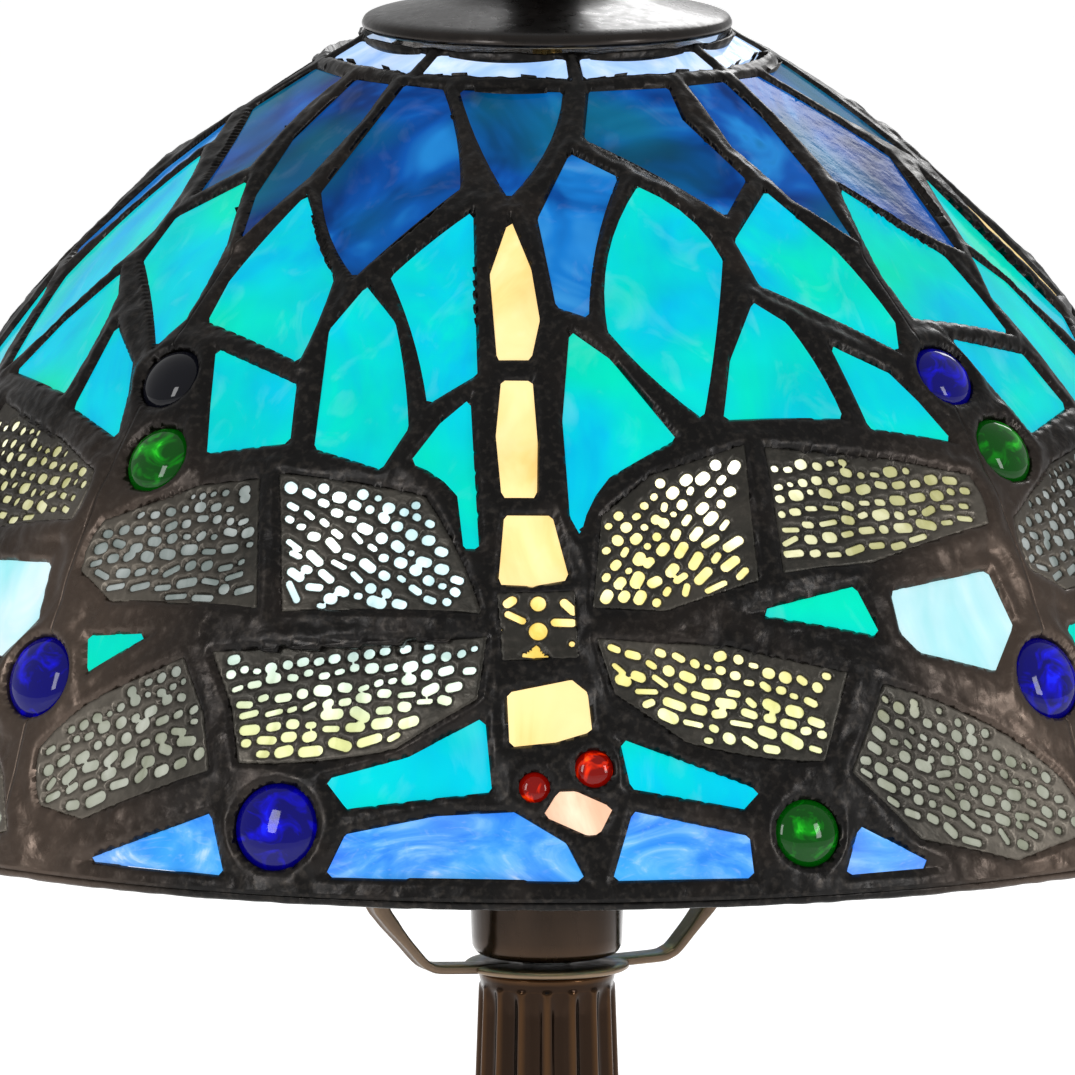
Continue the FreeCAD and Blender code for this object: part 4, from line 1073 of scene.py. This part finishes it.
def wing_glass(name, left, right, low, near, far, upper_right=1.0):
    """Clear rippled glass, all painted light: the hue seen through it by the side of the body, painted glints in the
    ripples, glow from near the body outwards, brightest over the bulb.
    """
    mat, tree, shader = new_material(name)
    side, height = quarter_angle(tree), height_above_rim(tree)
    # Painted light: the hue seen through the clear glass, cooler left of the body, warmer right of it and yellower low
    # down.
    colour = blend(tree, spread(tree, side, -0.10, 0.10), left, right)
    colour = blend(tree, spread(tree, height, 0.050, 0.030), colour, low)
    ripple = noise(tree, 120, 4.0, (1, 1, 0.5), 0.8)
    # Painted glints: the ripples are whitened, and below they make the glow uneven.
    colour = blend(tree, spread(tree, ripple, 0.35, 0.75, 0.0, 0.35), colour, (1, 1, 1, 1))
    outwards = sums(tree, "ABSOLUTE", side)
    unevenness = spread(tree, ripple, 0.34, 0.66, 0.62, 1.22)
    strength = sums(tree, "MULTIPLY", spread(tree, outwards, 0.1, 0.75, near, far), unevenness)
    # Painted light: the upper right of the wings glows upper_right times as strongly.
    upper = sums(tree, "MULTIPLY", spread(tree, side, -0.05, 0.15), spread(tree, height, 0.048, 0.060))
    strength = sums(tree, "MULTIPLY", strength, sums(tree, "MULTIPLY_ADD", upper, upper_right - 1.0, 1.0))
    hot = bulb_spot(tree, side, height, 0.39, 0.083, 0.020)
    hot = sums(tree, "MAXIMUM", hot, sums(tree, "MULTIPLY", bulb_spot(tree, side, height, -0.45, 0.068, 0.014), 0.7))
    colour = blend(tree, hot, colour, tint(255, 255, 238))
    strength = sums(tree, "MULTIPLY_ADD", hot, 1.6, strength)
    wire_up(
        tree, shader,
        Base_Color=blend(tree, 0.5, colour, (0, 0, 0, 1)), Emission_Color=colour, Emission_Strength=strength,
        Roughness=0.06, Normal=relief(tree, ripple, 0.0006, 0.5), IOR=1.52,
    )
    return mat


bright_wing = wing_glass("lit_wing_glass", tint(200, 236, 240), tint(255, 238, 140), tint(232, 236, 160), 1.1, 0.7)
dim_wing = wing_glass("dimly_lit_wing_glass", tint(150, 164, 160), tint(206, 204, 140), tint(176, 182, 158), 0.62, 0.34, 1.9)
thorax_mat = wing_glass("amber_body_glass", tint(255, 214, 96), tint(255, 218, 104), tint(252, 206, 96), 1.05, 1.0)


# %% Jewels
def jewel_glass(name, deep, bright, glint, crown=0.16):
    """Pressed glass: painted shade at the girdle, a saturated body, and painted glints on a crown of the given width
    and in slow swirls.
    """
    mat, tree, shader = new_material(name)
    edge = node(tree, "Attribute", attribute_name="edge").outputs["Fac"]
    swirl = noise(tree, 160, 3.0, (1, 1, 1), 1.5)
    mixed = sums(tree, "MULTIPLY_ADD", swirl, 1.5, sums(tree, "MULTIPLY_ADD", edge, 0.3, -0.5))
    # Painted glints are the glint colour, painted shade is the deep colour at the girdle; the glow stands for light
    # through the jewel.
    colour = ramp(tree, mixed, [(0.0, glint), (crown, bright), (0.42, deep)])
    unlit = node(tree, "Attribute", attribute_name="unlit").outputs["Fac"]
    colour = blend(tree, unlit, colour, tint(8, 9, 16))
    wire_up(
        tree, shader,
        Base_Color=blend(tree, 0.4, colour, (0, 0, 0, 1)), Emission_Color=colour, Emission_Strength=0.55,
        Roughness=spread(tree, swirl, 0.3, 0.7, 0.02, 0.06), Specular_IOR_Level=0.22, IOR=1.55,
        Coat_Weight=0.04, Coat_Roughness=0.03, Normal=relief(tree, noise(tree, 220, 2.0), 0.0002, 0.4),
    )
    return mat


jewel_mats = {
    "blue_jewels": jewel_glass("cobalt_jewel", tint(2, 0, 100), tint(6, 0, 196), tint(14, 30, 250)),
    "green_jewels": jewel_glass("emerald_jewel", tint(0, 66, 4), tint(0, 132, 8), tint(50, 224, 44)),
    "eye_jewels": jewel_glass("ruby_jewel", tint(120, 6, 0), tint(232, 40, 0), tint(255, 150, 20), 0.30),
}

# %% [markdown]
# ## Metals
# Solder is patinated nearly black on its ridges and keeps a coppery brown in drifts where it was wiped broad. Low down
# near the quarter seams, round the pale panels and under the wings, it turns warm brown as well: a painted sheen of
# the shade's slanting sides. The wing plates are greyer. The bronze is a brown lacquer over brass in two tones that
# drift, gold on sharp ridges as wear and as a painted highlight, with faint spinning marks.


# %% Solder and pierced metal
def patina(name, dark, warm, warm_share, rough, lump):
    """A floated metal: a dark patina, a warm brown in drifts and a painted sheen of warm brown near the quarter seams,
    pits, lumps and rubbed tops.
    """
    mat, tree, shader = new_material(name)
    drift = spread(tree, noise(tree, 38, 3.0, (1, 1, 1), 0.6), 0.52, 0.76, 0.0, warm_share)
    # Painted sheen: low down near the quarter seams, where the shade's sides are seen at a slant, the solder turns warm
    # brown.
    seam = spread(tree, sums(tree, "ABSOLUTE", quarter_angle(tree)), 0.62, 0.90)
    low_part = spread(tree, height_above_rim(tree), 0.090, 0.060)
    seam = sums(tree, "MULTIPLY", sums(tree, "MULTIPLY", seam, low_part), 0.8)
    share = sums(tree, "MAXIMUM", drift, seam)
    grain = noise(tree, 700, 4.0)
    colour = blend(tree, share, dark, warm)
    colour = blend(tree, spread(tree, grain, 0.5, 0.75, 0.0, 0.12), colour, tint(130, 120, 110))
    bumps = sums(tree, "ADD", noise(tree, 170, 3.0, (1, 1, 1), 0.5), sums(tree, "MULTIPLY", grain, 0.18))
    dullness = spread(tree, noise(tree, 260, 3.0), 0.3, 0.7, rough - 0.1, rough + 0.14)
    wire_up(
        tree, shader,
        Base_Color=colour, Metallic=0.75, Roughness=dullness, Normal=relief(tree, bumps, lump, 0.7), IOR=1.6,
    )
    return mat


solder_mat = patina("patinated_solder", tint(17, 15, 14), tint(88, 74, 64), 0.2, 0.34, 0.0005)
plate_mat = patina("pierced_wing_metal", tint(52, 50, 45), tint(112, 105, 95), 0.45, 0.40, 0.0005)


# %% Bronze, brass and steel
def lacquered(name, hollow, body, ridge_wear_and_highlight, rough, streak=(1, 1, 1), depth=0.0002, metal=0.9, coat=0.2):
    """A lacquered metal: two tones by drift, a third where the surface is sharply bent (wear and a painted highlight),
    fine marks.
    """
    mat, tree, shader = new_material(name)
    tone = noise(tree, 55, 4.0, streak, 0.4)
    colour = ramp(tree, tone, [(0.25, hollow), (0.75, body)])
    # Painted highlight: sharply bent ridges turn gold, for the sheen they catch as well as for wear.
    bend = spread(tree, node(tree, "NewGeometry").outputs["Pointiness"], 0.505, 0.56, 0.0, 0.8)
    colour = blend(tree, bend, colour, ridge_wear_and_highlight)
    marks = noise(tree, 420, 3.0, streak)
    wire_up(
        tree, shader,
        Base_Color=colour, Metallic=metal, Roughness=spread(tree, marks, 0.3, 0.7, rough - 0.07, rough + 0.1),
        Coat_Weight=coat, Coat_Roughness=0.12, Normal=relief(tree, marks, depth, 0.4),
    )
    return mat


UPRIGHT = (1, 1, 0.12)
metal_mats = {
    "bronze": lacquered("brown_bronze", tint(34, 22, 13), tint(52, 35, 22), tint(104, 72, 42), 0.13, UPRIGHT, coat=0.06),
    "harp_bronze": lacquered("satin_bronze", tint(78, 62, 50), tint(102, 85, 70), tint(138, 117, 94), 0.36),
    "socket_bronze": lacquered(
        "dark_socket_lacquer", tint(32, 22, 14), tint(50, 36, 24), tint(92, 68, 48), 0.20, (1, 1, 0.3), 0.0001, 0.85, 0.15
    ),
    "brass": lacquered("plain_brass", tint(150, 112, 48), tint(196, 156, 84), tint(232, 200, 130), 0.26),
    "plated_steel": lacquered("zinc_plate", tint(128, 130, 132), tint(168, 170, 172), tint(206, 208, 210), 0.32),
    "cast_weight": lacquered(
        "cast_iron", tint(38, 38, 40), tint(58, 57, 58), tint(88, 86, 84), 0.62, (1, 1, 1), 0.0006, 0.7, 0.0
    ),
    "bulb_metal": lacquered("bulb_nickel", tint(130, 126, 118), tint(176, 172, 164), tint(214, 210, 204), 0.28),
}


# %% Card, porcelain, plastic and felt
def matt(name, low, high, scale, rough, depth, sheen=0.0):
    """A plain dry material: two close tones in a fine grain, with its relief."""
    mat, tree, shader = new_material(name)
    grain = noise(tree, scale, 5.0, (1, 1, 1), 0.3, 0.65)
    wire_up(
        tree, shader,
        Base_Color=ramp(tree, grain, [(0.32, low), (0.68, high)]),
        Roughness=spread(tree, grain, 0.3, 0.7, rough - 0.08, rough + 0.05),
        Normal=relief(tree, grain, depth, 0.7), Sheen_Weight=sheen,
    )
    return mat


cap_bronze = lacquered("dark_cap_bronze", tint(22, 20, 19), tint(38, 34, 32), tint(84, 76, 70), 0.30)
other_mats = {
    "card_liner": matt("pressed_card", tint(150, 128, 96), tint(184, 162, 126), 500, 0.85, 0.0002),
    "porcelain": matt("glazed_porcelain", tint(222, 218, 208), tint(240, 238, 230), 90, 0.18, 0.0001),
    "bushing_plastic": matt("black_nylon", tint(24, 24, 25), tint(40, 40, 42), 320, 0.48, 0.0002),
    "felt": matt("green_felt", tint(26, 58, 38), tint(44, 84, 56), 900, 0.93, 0.0006, 0.5),
}

# %% Lit bulb
bulb_mat, tree, shader = new_material("frosted_bulb")
frost = noise(tree, 60, 3.0)
glow_colour = ramp(tree, frost, [(0.3, tint(255, 236, 196)), (0.7, tint(255, 246, 222))])
from_top = spread(tree, height_above_rim(tree), 0.014, 0.050, 1.2, 4.0)
wire_up(
    tree, shader,
    Base_Color=glow_colour, Emission_Color=glow_colour, Emission_Strength=from_top, Roughness=0.35,
    Normal=relief(tree, noise(tree, 800, 2.0), 0.0001, 0.4),
)

# %% [markdown]
# ## Dressing every piece
# Each kept CAD node gets the material of its own slot, and each new piece the material listed for it. Some nodes share
# a
# slot but not a glass: the pale panels, the heads, the slip petals, and the brightly lit inner wings beside the dimly
# lit outer ones, whose difference in glow is painted light.

# %% Hand out the materials
slot_mats = {
    **glass_mats, **metal_mats, **other_mats,
    "dark_solder": solder_mat, "pierced_metal": plate_mat, "bulb_glass": bulb_mat, "clear_glass": bright_wing,
    "blue_jewel": jewel_mats["blue_jewels"], "green_jewel": jewel_mats["green_jewels"], "red_jewel": jewel_mats["eye_jewels"],
}
own = {
    "pale_panel_glass": pale_panel, "head_glass": head_glass, "slip_glass": slip_glass,
    "inner_wing_glass": bright_wing, "outer_wing_glass": dim_wing, "thorax_glass": thorax_mat,
}
node_slot = {part["node"]: part["material_slot"] for part in frame["record"]["subparts"]}
dressed = 0
for name, obj in frame["nodes"].items():
    mat = own.get(name, slot_mats[node_slot[name]])
    if not obj.material_slots:
        obj.data.materials.append(mat)
    for place_for in obj.material_slots:
        place_for.material = mat
    dressed += 1
new_pieces = {
    solder_mat: [*solder_parts, "rim_bead"], plate_mat: overlay_pieces,
    metal_mats["bronze"]: ["fluted_column", "spun_foot"], cap_bronze: ["spun_cap", "turned_finial"],
    metal_mats["harp_bronze"]: ["harp_bow", "saddle", "sleeve_cup_left", "sleeve_cup_right"],
    metal_mats["socket_bronze"]: ["socket_shell"], bulb_mat: ["globe_bulb"],
}
new_pieces.update({jewel_mats[k]: [piece] for k, piece in jewel_pieces.items()})
for mat, pieces in new_pieces.items():
    for piece in pieces:
        made = bpy.data.objects[piece] if isinstance(piece, str) else piece
        made.data.materials.clear()
        made.data.materials.append(mat)
print("dressed nodes", dressed, "and pieces", sum(len(p) for p in new_pieces.values()))
